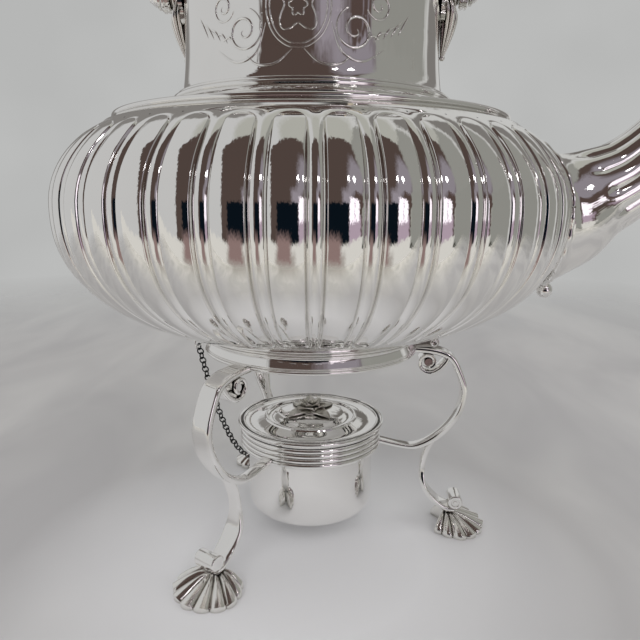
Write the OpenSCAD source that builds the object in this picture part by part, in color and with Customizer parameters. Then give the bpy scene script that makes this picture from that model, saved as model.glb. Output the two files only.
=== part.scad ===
// Spirit kettle with a lobed body, on a three legged stand with a spirit burner.
// Origin: on the table, under the kettle's axis. +X towards the spout, +Y away from the viewer, +Z up.

/* [Kettle body] */
// Largest radius, at the crowns of the lobes
body_r = 100; // [92:1:108]
// Wall of the body and of the shoulder
body_wall = 1.2; // [1:0.1:2]
// Height of the widest line over the body's lower edge
body_low_h = 50; // [44:1:56]
// Height from the widest line to the top of the body's curve
body_high_h = 35; // [30:1:38]
// Number of lobes round the body
lobe_count = 40; // [32:1:44]
// Depth of the valley between two lobes
lobe_depth = 1.9; // [1:0.1:3]

/* [Neck and lid] */
// Outer radius of the neck
neck_r = 49; // [47:0.5:51]
// Wall of the neck
neck_wall = 1.4; // [1:0.1:2]
// Height of the neck over the shoulder
neck_h = 52; // [48:1:58]
// Height of the lid's dome over the neck's rim
lid_rise = 22; // [16:1:26]
// Depth of the bezel that drops into the neck
bezel_depth = 6; // [4:0.5:7]
// Height of the finial knob
finial_h = 24; // [18:1:28]
// Largest radius of the finial knob
finial_r = 8.5; // [7:0.5:10]

/* [Spout] */
// Distance of the spout's mouth from the kettle's axis
spout_reach = 180; // [172:1:186]
// Height of the spout's mouth over the widest line of the body
spout_rise = 90; // [84:1:96]
// Outer radius of the mouth
spout_mouth_r = 8.6; // [8:0.2:10]
// Wall of the spout
spout_wall = 1.2; // [1:0.1:1.6]
// Number of flutes round the spout
spout_flutes = 12; // [10:1:14]
// Radius of each hole of the strainer behind the spout
strainer_r = 2; // [1.5:0.1:2.4]

/* [Handle] */
// Height of the pivots over the shoulder
pivot_rise = 38; // [34:0.5:42]
// Height of the grip's middle over the pivots
handle_rise = 116; // [116:1:124]
// Length of the wooden grip
grip_len = 66; // [56:1:76]
// Largest radius of the wooden grip
grip_r = 8; // [7:0.5:9]
// Radius of a handle arm at its thickest
arm_r = 4; // [3:0.2:4.6]
// Radius of a handle pivot
pivot_r = 2; // [1.6:0.1:2.4]

/* [Stand] */
// Height of the seat that carries the kettle, over the table
seat_h = 88; // [84:1:94]
// Height of the stand's ring
ring_h = 6.5; // [6:0.5:8]
// Outer radius of the stand's ring at its foot
ring_r = 44.6; // [43:0.2:46]
// Distance by which the knee stands out past the ring
knee_reach = 21.4; // [19:0.2:24]
// Distance by which the shell feet's hinges stand out past the ring
foot_reach = 16.9; // [15:0.1:19]
// Width of a leg's broad stretches
leg_w = 8.6; // [7:0.2:10]
// Width of a leg's slim stretches
slim_w = 4; // [3.4:0.2:5]
// Thickness of a leg
leg_t = 3; // [2.4:0.2:3.6]
// Reach of a shell foot from its hinge to its toe
toe_reach = 16.4; // [14:0.2:18]
// Number of flutes on a shell foot
foot_flutes = 11; // [8:1:12]

/* [Burner] */
// Outer radius of the spirit cup
cup_r = 27.4; // [25:0.2:29]
// Wall of the spirit cup
cup_wall = 1; // [0.8:0.1:1.6]
// Height of the cup's underside over the table
cup_bottom = 8.6; // [6:0.2:14]
// Height of the burner ring's upper edge over the table
burner_ring_top = 46.3; // [44:0.1:48]
// Height of the burner ring
burner_ring_h = 8.5; // [8:0.5:10]
// Outer radius of the wick tube
wick_tube_r = 5; // [4:0.2:6]

/* [Small parts] */
// Radius of the hinge pin and of the lock pin
pin_r = 1; // [0.8:0.05:1.2]
// Radius of the lid's hinge pin
lid_pin_r = 0.9; // [0.7:0.05:1.1]
// Radius of the chain's wire
chain_wire_r = 0.3; // [0.25:0.01:0.35]
// Depth to which the chain hangs under a straight line between its ends
chain_sag = 34; // [28:1:36]

/* [Fits] */
// Radial clearance of a pin that turns or slides
run_gap = 0.05; // [0.03:0.01:0.08]
// Gap between two seats that rest on each other
seat_gap = 0.2; // [0.1:0.05:0.3]
// Side clearance between parts that move past each other
side_gap = 0.3; // [0.2:0.05:0.4]

/* [Hidden] */
$fn = 64;

silver = [0.86, 0.86, 0.84];
dark_wood = [0.10, 0.07, 0.06];
ivory = [0.90, 0.86, 0.76];
iron = [0.12, 0.12, 0.12];
cotton = [0.92, 0.90, 0.84];

// Body
foot_rim_h = 2.8;
foot_rim_r = ring_r + 2;
body_z = seat_h + foot_rim_h;
wide_z = body_z + body_low_h;
crown_r = body_r - 42;
lobe_end_r = body_r - 14.5;
shoulder_r = body_r - 20;
lobe_samples = 4;
lobe_shift = 1.5; // degrees by which the first lobe stands off +X
low_bend = 2.5;
low_power = 0.72;
low_start = 12;
base_t = 1.2;

// Shoulder and neck
function high_z(r) = wide_z
    + body_high_h * sqrt(max(0, 1 - pow((r - crown_r) / (body_r - crown_r), 2)));
shoulder_z = high_z(shoulder_r);
rib_r = shoulder_r - 3.5;
rib_h = 2.4;
rib_z = shoulder_z + 1.6;
neck_foot_z = rib_z + rib_h + 8;
neck_top = neck_foot_z + neck_h;
rim_h = 2.4;
rim_out = 1.8;
lid_z = neck_top + seat_gap;
lid_wall = 1;
bezel_r = neck_r - neck_wall - 0.4;
bezel_wall = 0.9;
lid_top = lid_z + lid_rise;
boss_r = 5;
insulator_h = 2.2;
finial_z = lid_top + 3.6;
stud_r = 1.5;

// Lid hinge, on the far side of the neck
lid_knuckle_r = 2;
lid_axis_y = neck_r + rim_out + lid_knuckle_r + side_gap;
lid_axis_z = lid_z;
lid_knuckle_w = 7;

// Handle
pivot_z = neck_foot_z + pivot_rise;
bracket_r = 9.5;
bracket_x = neck_r + 6.5;
arm_eye_t = 3.4;
arm_eye_r = 5.2;
arm_x = bracket_x + side_gap + arm_eye_t / 2;
arm_end_x = grip_len / 2 + 2.3;
grip_drop = 7;
arm_end_z = pivot_z + handle_rise - grip_drop - 1;
ferrule_r = 6.2;
ferrule_h = 3.6;

// Spout
spout_root_h = 29;
spout_root_w = 20;
spout_root_z = wide_z - 0.8;
spout_mouth_z = wide_z + spout_rise;
spout_bead_r = 1.4;
spout_lift = 2;
heel_lift = 6;
drop_r = 3.2;
strainer_pitch = 7;

// Stand and its hinge
knee_r = ring_r + knee_reach;
foot_r = ring_r + foot_reach;
ring_wall = 2.6;
ring_top = seat_h - seat_gap;
ring_z = ring_top - ring_h;
pin_x = ring_r + 7.7;
pin_z = seat_h - 2.7;
knuckle_r = 2.2;
knuckle_w = 3.8;
cheek_t = 2.2;
cheek_y = knuckle_w / 2 + side_gap;
cheek_mid = cheek_y + cheek_t / 2;
tight_gap = 0.02;
pin_head_r = 1.7;
arm_z = burner_ring_top - burner_ring_h + 1;

// Burner
cup_corner = 6;
burner_ring_r = cup_r + 3.6;
burner_ring_bore = cup_r + 0.4;
flange_h = 0.8;
flange_z = burner_ring_top + seat_gap;
flange_r = burner_ring_r - 0.8;
burner_lid_z = flange_z + flange_h + seat_gap;
burner_lid_r = burner_ring_r + 1.1;
plate_z = flange_z - 5;
wick_top = flange_z + 2.6;

// Lock pin, drawn back so that the kettle is free to tilt
pin_travel = cheek_y * 2 + cheek_t / 2;
pin_back = cheek_y + side_gap / 2;
pin_ball_r = 1.7;
pin_len = pin_travel + cheek_t + pin_ball_r + seat_gap;
eye_drop = 2.8;
eye_r = 1.2;
ring_wire_r = 0.45;
pin_ring_len = pin_travel + 2;
pin_ring_h = 4.6;

// Chain
link_r = 1.45;
link_pitch = 2.28;
link_seat = 0.58;

// Blends and curves
function smooth(t) = t <= 0 ? 0 : t >= 1 ? 1 : t * t * (3 - 2 * t);
function mix(a, b, t) = a + (b - a) * t;
function blend4(a, b, c, d, t) = 0.5 * (2 * b + (c - a) * t + (2 * a - 5 * b + 4 * c - d) * t * t
    + (3 * b - a - 3 * c + d) * t * t * t);
function curve(p, k) = let (n = len(p)) [
    for (i = [0:n - 2]) for (j = [0:k - 1])
        blend4(p[max(i - 1, 0)], p[i], p[i + 1], p[min(i + 2, n - 1)], j / k),
    p[n - 1]];
function heading(p, i) = let (d = p[min(i + 1, len(p) - 1)] - p[max(i - 1, 0)]) d / norm(d);

// A closed skin through a list of rings, each of the same number of points
function skin_sides(m, n, last) = [for (i = [0:last]) for (j = [0:n - 1])
    let (a = (i % m) * n, b = ((i + 1) % m) * n, k = (j + 1) % n)
        each [[a + j, b + k, a + k], [a + j, b + j, b + k]]];

// Solid bar through the rings, with flat ends
module bar(rings) {
    n = len(rings[0]);
    m = len(rings);
    ends = [[for (j = [0:n - 1]) j], [for (j = [n - 1:-1:0]) (m - 1) * n + j]];
    polyhedron([for (r = rings) each r], concat(skin_sides(m, n, m - 2), ends), convexity = 8);
}

// Hollow shell: the rings run up the outside and back down the inside
module shell(rings) {
    n = len(rings[0]);
    m = len(rings);
    polyhedron([for (r = rings) each r], skin_sides(m, n, m - 1), convexity = 8);
}

// A section of points (across, along Y), carried along a path in the XZ plane
function carried(path, i, section) = let (t = heading(path, i))
    [for (s = section) [path[i][0] + s[0] * t[1], s[1], path[i][1] - s[0] * t[0]]];
function disc_section(r, n) = [for (j = [0:n - 1]) [r * cos(360 * j / n), r * sin(360 * j / n)]];
// A strap: crowned on its outer side, flat on its inner side
function strap_section(w, t) = [[t / 2, -w * 0.40], [t / 2, w * 0.40], [t * 0.2, w / 2], [-t * 0.2, w / 2],
    [-t / 2, w * 0.26], [-t / 2, -w * 0.26], [-t * 0.2, -w / 2], [t * 0.2, -w / 2]];

// Radius of the body's outer surface at a height, along the crown of a lobe
function body_radius(z) = z > wide_z
    ? crown_r + (body_r - crown_r) * sqrt(max(0, 1 - pow((z - wide_z) / body_high_h, 2)))
    : low_radius((wide_z - z) / body_low_h);
function low_radius(t) = foot_rim_r
    + (body_r - foot_rim_r) * pow(1 - pow(min(1, t), low_bend), low_power);
function lobe_fall(phase) = pow(2 * abs(phase - round(phase)), 2);
low_rows = [0, 3, low_start, 19, 27, 38, 52, 70, 90];
high_rows = [16, 32, 45, 53];
end_turn = acos((shoulder_r - crown_r) / (body_r - crown_r));
lobe_turn = acos((lobe_end_r - crown_r) / (body_r - crown_r));
outline = concat(
    [for (t = low_rows) [low_radius(cos(t)), wide_z - body_low_h * cos(t), smooth((t - 3) / (19 - 3))]],
    [for (t = high_rows) [mix(crown_r, body_r, cos(t * lobe_turn / 53)),
        wide_z + body_high_h * sin(t * lobe_turn / 53), smooth((53 - t) / (53 - 40))]],
    [[shoulder_r, shoulder_z, 0]]);
inside = [for (i = [len(outline) - 1:-2:0]) outline[i]];

module kettle_body() color(silver) difference() {
    shell(concat(
        [for (p = outline) body_ring(p[0], p[1], p[2])],
        [for (p = inside) body_ring(p[0] - body_wall, max(p[1], body_z + 0.01), p[2])]));
    for (row = [-1:1]) for (k = [-1:1])
        translate([body_r - 18, k * strainer_pitch, spout_root_z + row * strainer_pitch]) rotate([0, 90, 0])
            cylinder(r = strainer_r, h = 24);
}
function body_ring(r, z, fade) = let (n = lobe_count * lobe_samples) [for (j = [0:n - 1])
    let (a = lobe_shift + 360 * j / n, d = r - fade * lobe_depth * lobe_fall(j / lobe_samples))
        [d * cos(a), d * sin(a), z]];

module kettle_base() color(silver) translate([0, 0, body_z - base_t])
    cylinder(r = foot_rim_r - 1.6, h = base_t);

module kettle_foot_rim() color(silver) rotate_extrude() translate([foot_rim_r - 1.6, seat_h]) union() {
    square([1.6, foot_rim_h]);
    for (k = [0:2]) translate([1.5, foot_rim_h * (k + 0.5) / 3]) circle(r = foot_rim_h / 6.4, $fn = 24);
}

module kettle_shoulder() color(silver) rotate_extrude() union() {
    polygon([[shoulder_r, shoulder_z], [rib_r, rib_z], [rib_r - 5, rib_z + rib_h],
        [neck_r + 12, rib_z + rib_h + 1.6], [neck_r + 5, rib_z + rib_h + 4.4], [neck_r + 2.4, neck_foot_z],
        [neck_r + 2.4 - body_wall, neck_foot_z], [neck_r + 5 - body_wall, rib_z + rib_h + 3.4],
        [neck_r + 12 - body_wall, rib_z + rib_h + 0.4], [rib_r - 6, rib_z + rib_h - body_wall],
        [rib_r - 1, rib_z - body_wall], [shoulder_r - body_wall, shoulder_z]]);
    translate([rib_r - 1.2, rib_z + 0.7]) circle(r = 1.7, $fn = 32);
}

module kettle_neck() color(silver) rotate_extrude() polygon([
    [neck_r + 2.4, neck_foot_z], [neck_r + 1, neck_foot_z + 5], [neck_r + 0.3, neck_foot_z + 12],
    [neck_r, neck_foot_z + 20], [neck_r, neck_top - rim_h], [neck_r - neck_wall, neck_top - rim_h],
    [neck_r - neck_wall, neck_foot_z + 20], [neck_r + 0.3 - neck_wall, neck_foot_z + 12],
    [neck_r + 1 - neck_wall, neck_foot_z + 5], [neck_r + 2.4 - neck_wall, neck_foot_z]]);

module neck_rim() color(silver) rotate_extrude() union() {
    translate([neck_r - neck_wall, neck_top - rim_h]) square([neck_wall + 0.4, rim_h]);
    translate([neck_r + 0.3, neck_top - rim_h / 2]) circle(r = rim_h / 2, $fn = 32);
}

// Lug that hangs from the foot rim between the two cheeks of the stand
lug_joint_x = foot_rim_r + 0.6 - pin_x;
module middle_lug(side) color(silver) mirror([side < 0 ? 1 : 0, 0, 0]) rotate([90, 0, 0]) difference() {
    translate([pin_x, pin_z, -knuckle_w / 2]) linear_extrude(knuckle_w) union() {
        circle(r = knuckle_r);
        polygon([[-knuckle_r * 0.5, knuckle_r * 0.6], [knuckle_r * 0.9, knuckle_r * 0.3],
            [knuckle_r, body_z + 1.6 - pin_z], [lug_joint_x, body_z - pin_z],
            [lug_joint_x, seat_h + seat_gap / 2 - pin_z]]);
    }
    translate([pin_x, pin_z, -knuckle_w]) cylinder(r = pin_r + run_gap, h = knuckle_w * 2);
}
module kettle_hinge_lug() middle_lug(1);
module kettle_latch_lug() middle_lug(-1);

// Spout: a swan neck whose root lies on the body. Each key has its share of the reach, its share
// of the rise, half the height of the section and half its width
spout_keys = [[-0.12, -0.01, spout_root_h, spout_root_w], [0.025, 0.012, 24.1, 18.8],
    [0.156, 0.071, 19, 16], [0.3125, 0.151, 16, 13.6], [0.4625, 0.29, 13, 11.6], [0.594, 0.464, 10.9, 10.1],
    [0.7125, 0.672, 9.7, 9.3], [0.8375, 0.87, 9, 8.8], [1, 1, spout_mouth_r, spout_mouth_r]];
spout_steps = 2;
spout_line = curve([for (k = spout_keys)
    [mix(body_r, spout_reach, k[0]), mix(spout_root_z, spout_mouth_z, k[1])]], spout_steps);
function spout_half(k, which) = lookup(k, [for (i = [0:len(spout_keys) - 1]) [i, spout_keys[i][which]]]);
function flute(a, k) = 1 - 0.07 * smooth((k - 1) / 1.5) * (0.5 + 0.5 * cos(spout_flutes * a + 180));
function spout_section(i, wall) = let (n = spout_flutes * 4, k = i / spout_steps) [for (j = [0:n - 1])
    let (a = 360 * j / n, f = flute(a, k)) [(spout_half(k, 2) * f - wall) * cos(a),
        (spout_half(k, 3) * f - wall) * sin(a)]];

// A point at a distance outside the body, and the ring of such points under the spout
function off_body(y, z, lift) = [sqrt(pow(body_radius(z) + lift, 2) - y * y), y, z];
function heel(drop) = heel_lift * pow(max(0, drop / spout_root_h), 3);
function spout_root(wall, lift) = [for (s = spout_section(0, wall))
    off_body(s[1], spout_root_z - s[0], lift > 0 ? lift + heel(s[0]) : lift)];
module spout() color(silver) shell(concat(
    [spout_root(0, -0.4), spout_root(0, spout_lift)],
    [for (i = [2:len(spout_line) - 1]) carried(spout_line, i, spout_section(i, 0))],
    [for (i = [len(spout_line) - 1:-2:2]) carried(spout_line, i, spout_section(i, spout_wall))],
    [spout_root(spout_wall, -0.4)]));

// Bead along the line where the spout meets the body
module spout_collar() color(silver) {
    n = 48;
    root = [for (s = disc_section(1, n)) let (drop = spout_root_h * 1.01 * s[0])
        off_body(spout_root_w * 1.01 * s[1], spout_root_z - drop, spout_lift * 0.5 + heel(drop) * 0.9)];
    shell([for (j = [0:n - 1]) let (t = (root[(j + 1) % n] - root[(j + n - 1) % n]), u = t / norm(t),
        e = [1, 0, 0] - u * u[0], x = e / norm(e), y = cross(u, x))
        [for (s = disc_section(spout_bead_r, 6)) root[j] + x * s[0] + y * s[1]]]);
}

drop_z = spout_root_z - spout_root_h - drop_r;
drop_x = body_radius(drop_z) + spout_lift + heel_lift + 3.1;
module spout_drop() color(silver) translate([drop_x, 0, drop_z]) union() {
    sphere(r = drop_r, $fn = 32);
    translate([0.3, 0, drop_r]) sphere(r = 1.8, $fn = 32);
}

// A fluted fan, flat underneath, that spreads from its hinge
// A dome of 1 makes its sides bulge; the toe always flares
fan_spans = [[0, 1], [60, 0.94], [90, 0.74], [112, 0.62], [180, 0.6]];
function fan_top(s, bulge) = mix(pow(1 - s, 1.25), 1 - pow(s, 2.4), bulge);
module fan(toe, h, rim, flutes, spread, depth, dome) {
    n = flutes * 4;
    hub = 1.6;
    rows = [0, 0.3, 0.6, 0.85, 1];
    bar([for (j = [0:n])
        let (a = mix(-spread, spread, j / n), r = toe * lookup(abs(a), fan_spans),
            w = depth * (abs(sin(180 * flutes * j / n)) - 0.6), bulge = dome * smooth(abs(a) / 90))
        [for (p = concat([[hub, 0]],
            [for (s = rows) [mix(hub, r + w * s * 0.8, s),
                max(0.3, mix(rim, h, fan_top(s, bulge)) + w * smooth(s * 2.5))]],
            [[r + w * 0.8, 0]])) [p[0] * cos(a), p[0] * sin(a), p[1]]]]);
}

// Bracket on the neck: a fluted fan, a pendant husk and the boss that carries the pivot
stud_x = neck_r + 1.5;
boss_out_r = 4.4;
husk_drop = 11;
husk_r = 2.6;
husk_h = 10.5;
module handle_bracket(side) color(silver) mirror([side < 0 ? 1 : 0, 0, 0]) difference() {
    union() {
        translate([neck_r - 0.4, 0, pivot_z + 2]) rotate([0, 90, 0]) fan(14, 4.4, 1.4, 9, 150, 0.9, 0);
        translate([neck_r - 0.8, 0, pivot_z]) rotate([0, 90, 0])
            cylinder(r = boss_out_r, h = bracket_x - neck_r + 0.8);
        translate([neck_r + 1.2, 0, pivot_z - husk_drop]) rotate([0, 180, 0])
            cylinder(r1 = husk_r, r2 = 0.8, h = husk_h, $fn = 24);
    }
    translate([stud_x, 0, pivot_z]) rotate([0, 90, 0]) cylinder(r = pivot_r, h = bracket_x);
}
module handle_bracket_spout() handle_bracket(1);
module handle_bracket_back() handle_bracket(-1);

// Pivot: a stud in the bracket with a domed head outside the arm
pivot_head_r = 4;
pivot_head_h = 1.6;
stud_len = arm_x + arm_eye_t / 2 + side_gap - stud_x;
module handle_pivot(side) color(silver) mirror([side < 0 ? 1 : 0, 0, 0])
    translate([stud_x, 0, pivot_z]) rotate([0, 90, 0]) union() {
        cylinder(r = pivot_r, h = stud_len + 1);
        translate([0, 0, stud_len]) cylinder(r = pivot_head_r, h = pivot_head_h);
        translate([0, 0, stud_len + pivot_head_h]) intersection() {
            sphere(r = pivot_head_r);
            cylinder(r = pivot_head_r, h = pivot_head_r);
        }
    }
module handle_pivot_spout() handle_pivot(1);
module handle_pivot_back() handle_pivot(-1);

// Handle arm: an eye on the pivot and a curved rod up to the ferrule
arm_keys = [[0, 0.036], [-0.17, 0.133], [-0.33, 0.286], [-0.32, 0.495], [-0.06, 0.686], [0.36, 0.857],
    [0.68, 0.948], [1, 1]];
arm_line = curve([for (k = arm_keys) [mix(arm_x, arm_end_x, k[0]), mix(pivot_z, arm_end_z, k[1])]], 2);
function arm_radius(k) = mix(arm_eye_t / 2, arm_r, smooth(min(k, 1 - k * 0.55) * 2.6));
module handle_arm(side) color(silver) mirror([side < 0 ? 1 : 0, 0, 0]) difference() {
    union() {
        bar([for (i = [0:len(arm_line) - 1]) carried(arm_line, i,
            disc_section(arm_radius(i / (len(arm_line) - 1)), 10))]);
        translate([arm_x - arm_eye_t / 2, 0, pivot_z]) rotate([0, 90, 0])
            cylinder(r = arm_eye_r, h = arm_eye_t);
    }
    translate([arm_x - arm_eye_t, 0, pivot_z]) rotate([0, 90, 0])
        cylinder(r = pivot_r + run_gap, h = arm_eye_t * 2);
}
module handle_arm_spout() handle_arm(1);
module handle_arm_back() handle_arm(-1);

// The grip is a gentle arch, so it and its ferrules share one path
grip_turn = 2 * atan(2 * grip_drop / grip_len);
grip_bend = grip_len / 2 / sin(grip_turn);
module handle_ferrule(side) color(ivory) mirror([side < 0 ? 1 : 0, 0, 0])
    translate([grip_len / 2, 0, pivot_z + handle_rise - grip_drop]) rotate([0, 90 + grip_turn, 0])
        translate([0, 0, seat_gap]) cylinder(r = ferrule_r, h = ferrule_h);
module handle_ferrule_spout() handle_ferrule(1);
module handle_ferrule_back() handle_ferrule(-1);
module handle_grip() color(dark_wood) {
    steps = 16;
    path = [for (i = [0:steps]) let (a = mix(-grip_turn, grip_turn, i / steps))
        [grip_bend * sin(a), pivot_z + handle_rise - grip_bend + grip_bend * cos(a)]];
    bar([for (i = [0:steps]) let (end = pow(abs(2 * i / steps - 1), 3))
        carried(path, i, disc_section(mix(grip_r, ferrule_r - 0.6, end), 16))]);
}

// Lid
dome_r = neck_r - 2;
function dome_point(k, inset) = [mix(boss_r, dome_r - inset, cos(90 * k)),
    lid_z + 2 - inset + (lid_rise - 2) * sin(90 * k) * mix(0.82, 1, k)];
module lid_dome() color(silver) rotate_extrude() union() {
    polygon(concat(
        [for (i = [0:12]) dome_point(i / 12, 0)],
        [for (i = [12:-1:0]) dome_point(i / 12, lid_wall)]));
    translate([bezel_r - bezel_wall, lid_z]) square([neck_r + 1.2 - bezel_r + bezel_wall, 2.2]);
    translate([neck_r + 1, lid_z + 1.1]) circle(r = 1.1, $fn = 24);
    translate([stud_r, lid_top - 1]) square([boss_r - stud_r + 0.2, 1]);
}
module lid_bezel() color(silver) rotate_extrude() translate([bezel_r - bezel_wall, lid_z - bezel_depth])
    square([bezel_wall, bezel_depth]);
module finial_base() color(silver) translate([0, 0, lid_top]) rotate_extrude() polygon([
    [stud_r, 0], [boss_r + 2.6, 0], [boss_r + 2.2, 0.9], [boss_r - 0.6, 1.4], [boss_r - 1.4, 2.4],
    [boss_r, finial_z - lid_top], [stud_r, finial_z - lid_top]]);
module finial_insulator() color(ivory) translate([0, 0, finial_z]) difference() {
    cylinder(r = boss_r + 1.2, h = insulator_h);
    translate([0, 0, -1]) cylinder(r = stud_r, h = insulator_h + 2);
}
module finial_knob() color(dark_wood) translate([0, 0, finial_z + insulator_h]) rotate_extrude()
    polygon(concat([[0, 0], [boss_r, 0], [boss_r * 0.7, finial_h * 0.12]],
        [for (i = [0:10]) let (a = mix(-62, 90, i / 10)) [finial_r * cos(a),
            finial_h * 0.56 + finial_h * 0.44 * sin(a)]]));
module finial_nut() color(silver) translate([0, 0, lid_top - 3.4]) union() {
    cylinder(r = 3.6, h = 2.4, $fn = 6);
    cylinder(r = stud_r - 0.02, h = finial_z + insulator_h - lid_top + 3.4);
}

// Lid hinge: the neck's leaf has the outer knuckles, the lid's leaf has the middle one
module knuckle(x, w, r, bore) translate([x - w / 2, lid_axis_y, lid_axis_z]) rotate([0, 90, 0])
    difference() {
        cylinder(r = r, h = w);
        translate([0, 0, -1]) cylinder(r = bore, h = w + 2);
    }
module neck_hinge_leaf() color(silver) for (side = [-1, 1]) {
    x = side * (lid_knuckle_w + side_gap / 2);
    union() {
        knuckle(x, lid_knuckle_w, lid_knuckle_r, lid_pin_r + tight_gap);
        translate([x - lid_knuckle_w / 2, neck_r + 0.6, lid_axis_z - lid_knuckle_r - 1.6])
            cube([lid_knuckle_w, lid_axis_y - neck_r - 0.6, 1.9]);
    }
}
module lid_hinge_leaf() color(silver) union() {
    knuckle(0, lid_knuckle_w - side_gap, lid_knuckle_r, lid_pin_r + run_gap);
    translate([-(lid_knuckle_w - side_gap) / 2, neck_r - 0.6, lid_axis_z + 1.3])
        cube([lid_knuckle_w - side_gap, lid_axis_y - neck_r + 0.6, 1.4]);
}
module lid_hinge_pin() color(silver) translate([-lid_knuckle_w * 1.5 - 1, lid_axis_y, lid_axis_z])
    rotate([0, 90, 0]) union() {
        cylinder(r = lid_pin_r, h = lid_knuckle_w * 3 + 2);
        sphere(r = 1.3, $fn = 24);
        translate([0, 0, lid_knuckle_w * 3 + 2]) sphere(r = 1.3, $fn = 24);
    }

// Stand
module stand_ring() color(silver) rotate_extrude() union() {
    polygon([[ring_r - ring_wall, ring_z], [ring_r, ring_z], [ring_r + 1.4, ring_top - 1],
        [ring_r + 1.4, ring_top], [ring_r - ring_wall, ring_top]]);
    translate([ring_r - 0.3, ring_z + 0.9]) circle(r = 0.9, $fn = 24);
}

// Two cheeks that stand out from the ring and hold a pin
module cheeks(side) color(silver) for (front = [-1, 1]) rotate([90, 0, 0]) difference() {
    translate([side * pin_x, pin_z, front * cheek_mid - cheek_t / 2]) linear_extrude(cheek_t) union() {
        circle(r = knuckle_r);
        polygon([[0, -knuckle_r], [0, knuckle_r], [side * (ring_r - 0.4 - pin_x), knuckle_r],
            [side * (ring_r - 0.4 - pin_x), -knuckle_r]]);
    }
    translate([side * pin_x, pin_z, front * cheek_mid - cheek_t])
        cylinder(r = pin_r + (side > 0 ? tight_gap : run_gap), h = cheek_t * 2);
}
module stand_hinge_lug() cheeks(1);
module stand_latch_lug() cheeks(-1);

module hinge_pin() color(silver) translate([pin_x, cheek_y + cheek_t, pin_z]) rotate([90, 0, 0]) union() {
    cylinder(r = pin_r, h = 2 * (cheek_y + cheek_t));
    translate([0, 0, -1]) cylinder(r = pin_head_r, h = 1);
    translate([0, 0, 2 * (cheek_y + cheek_t)]) cylinder(r = pin_head_r, h = 1);
}

// Leg: from the ring over the knee and in to the burner ring, with a volute under its top
knee_z = (ring_z + arm_z) / 2 + 1;
scroll_path = [[ring_r - 0.6, ring_z + 0.4], [ring_r + 5.5, ring_z], [ring_r + 11, ring_z - 1],
    [ring_r + 15.6, ring_z - 3.4], [knee_r - 3, ring_z - 8.2], [knee_r - 0.4, ring_z - 15],
    [knee_r, knee_z], [knee_r - 2, knee_z - 7.4], [knee_r - 6.8, knee_z - 15], [knee_r - 13.4, arm_z + 1.4],
    [knee_r - 20, arm_z - 1.4], [knee_r - 27, arm_z - 1], [burner_ring_r - 0.4, arm_z + 0.8]];
scroll_line = curve(scroll_path, 3);
scroll_share = 0.66;
function scroll_w(k) = mix(leg_w, slim_w, smooth((k - scroll_share) / 0.05));
volute = [ring_r + 3.6, ring_z - 7.6];
volute_spans = [[0, 12.2], [50, 6.6], [110, 4.5], [200, 4.1], [290, 3.3], [380, 2.3], [450, 1.9]];
volute_line = [for (a = [0:25:450]) volute + lookup(a, volute_spans) * [cos(26 - a), sin(26 - a)]];
module leg(turn) color(silver) rotate([0, 0, turn]) union() {
    bar([for (i = [0:len(scroll_line) - 1]) carried(scroll_line, i,
        strap_section(scroll_w(i / (len(scroll_line) - 1)), leg_t))]);
    bar([for (i = [0:len(volute_line) - 1]) carried(volute_line, i,
        strap_section(leg_w * 0.96, mix(2.4, 1.5, smooth(i / 8))))]);
}
module leg_spout() leg(0);
module leg_front() leg(-120);
module leg_rear() leg(120);

// Branch: from the scroll down to the foot, where it ends in a roll
branch_x = knee_r - 13.8;
branch_path = [[branch_x, arm_z - 0.8], [branch_x - 1.4, arm_z - 5], [branch_x - 2.4, arm_z - 12],
    [branch_x - 1.9, 20.5], [branch_x + 0.6, 15.6], [branch_x + 4.6, 11.4], [foot_r - 0.6, 8.8],
    [foot_r + 3, 8.4]];
branch_line = curve(branch_path, 2);
function branch_w(z) = mix(leg_w, slim_w, smooth((z - 22) / 2.5));
foot_roll = [foot_r + 3.4, 12.4];
foot_roll_r = 3.2;
module branch(turn) color(silver) rotate([0, 0, turn]) union() {
    bar([for (i = [0:len(branch_line) - 1]) carried(branch_line, i,
        strap_section(branch_w(branch_line[i][1]), leg_t))]);
    translate([foot_roll[0], leg_w * 0.55, foot_roll[1]]) rotate([90, 0, 0])
        cylinder(r = foot_roll_r, h = leg_w * 1.1);
}
module branch_spout() branch(0);
module branch_front() branch(-120);
module branch_rear() branch(120);

// Shell foot: a fluted fan that stands on the table
module foot(turn) color(silver) rotate([0, 0, turn]) translate([foot_r, 0, 0])
    fan(toe_reach, 7.2, 1.6, foot_flutes, 128, 1.4, 1);
module foot_spout() foot(0);
module foot_front() foot(-120);
module foot_rear() foot(120);

module burner_ring() color(silver) rotate_extrude() union() {
    translate([burner_ring_bore, burner_ring_top - burner_ring_h])
        square([burner_ring_r - 0.9 - burner_ring_bore, burner_ring_h]);
    for (k = [0:3]) translate([burner_ring_r - 1.1, burner_ring_top - 1.1 - k * (burner_ring_h - 2.2) / 3])
        circle(r = 1.1, $fn = 24);
}

// Lock pin in the rear cheek, with an eye under its head
module lock_pin() color(silver) union() {
    translate([-pin_x, pin_back, pin_z]) rotate([-90, 0, 0]) cylinder(r = pin_r, h = pin_len);
    translate([-pin_x, pin_back + pin_len, pin_z]) sphere(r = pin_ball_r, $fn = 32);
    translate([-pin_x, pin_back + pin_len, pin_z - eye_drop]) rotate([90, 0, 0]) rotate_extrude()
        translate([eye_r, 0]) circle(r = 0.4, $fn = 16);
}

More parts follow.
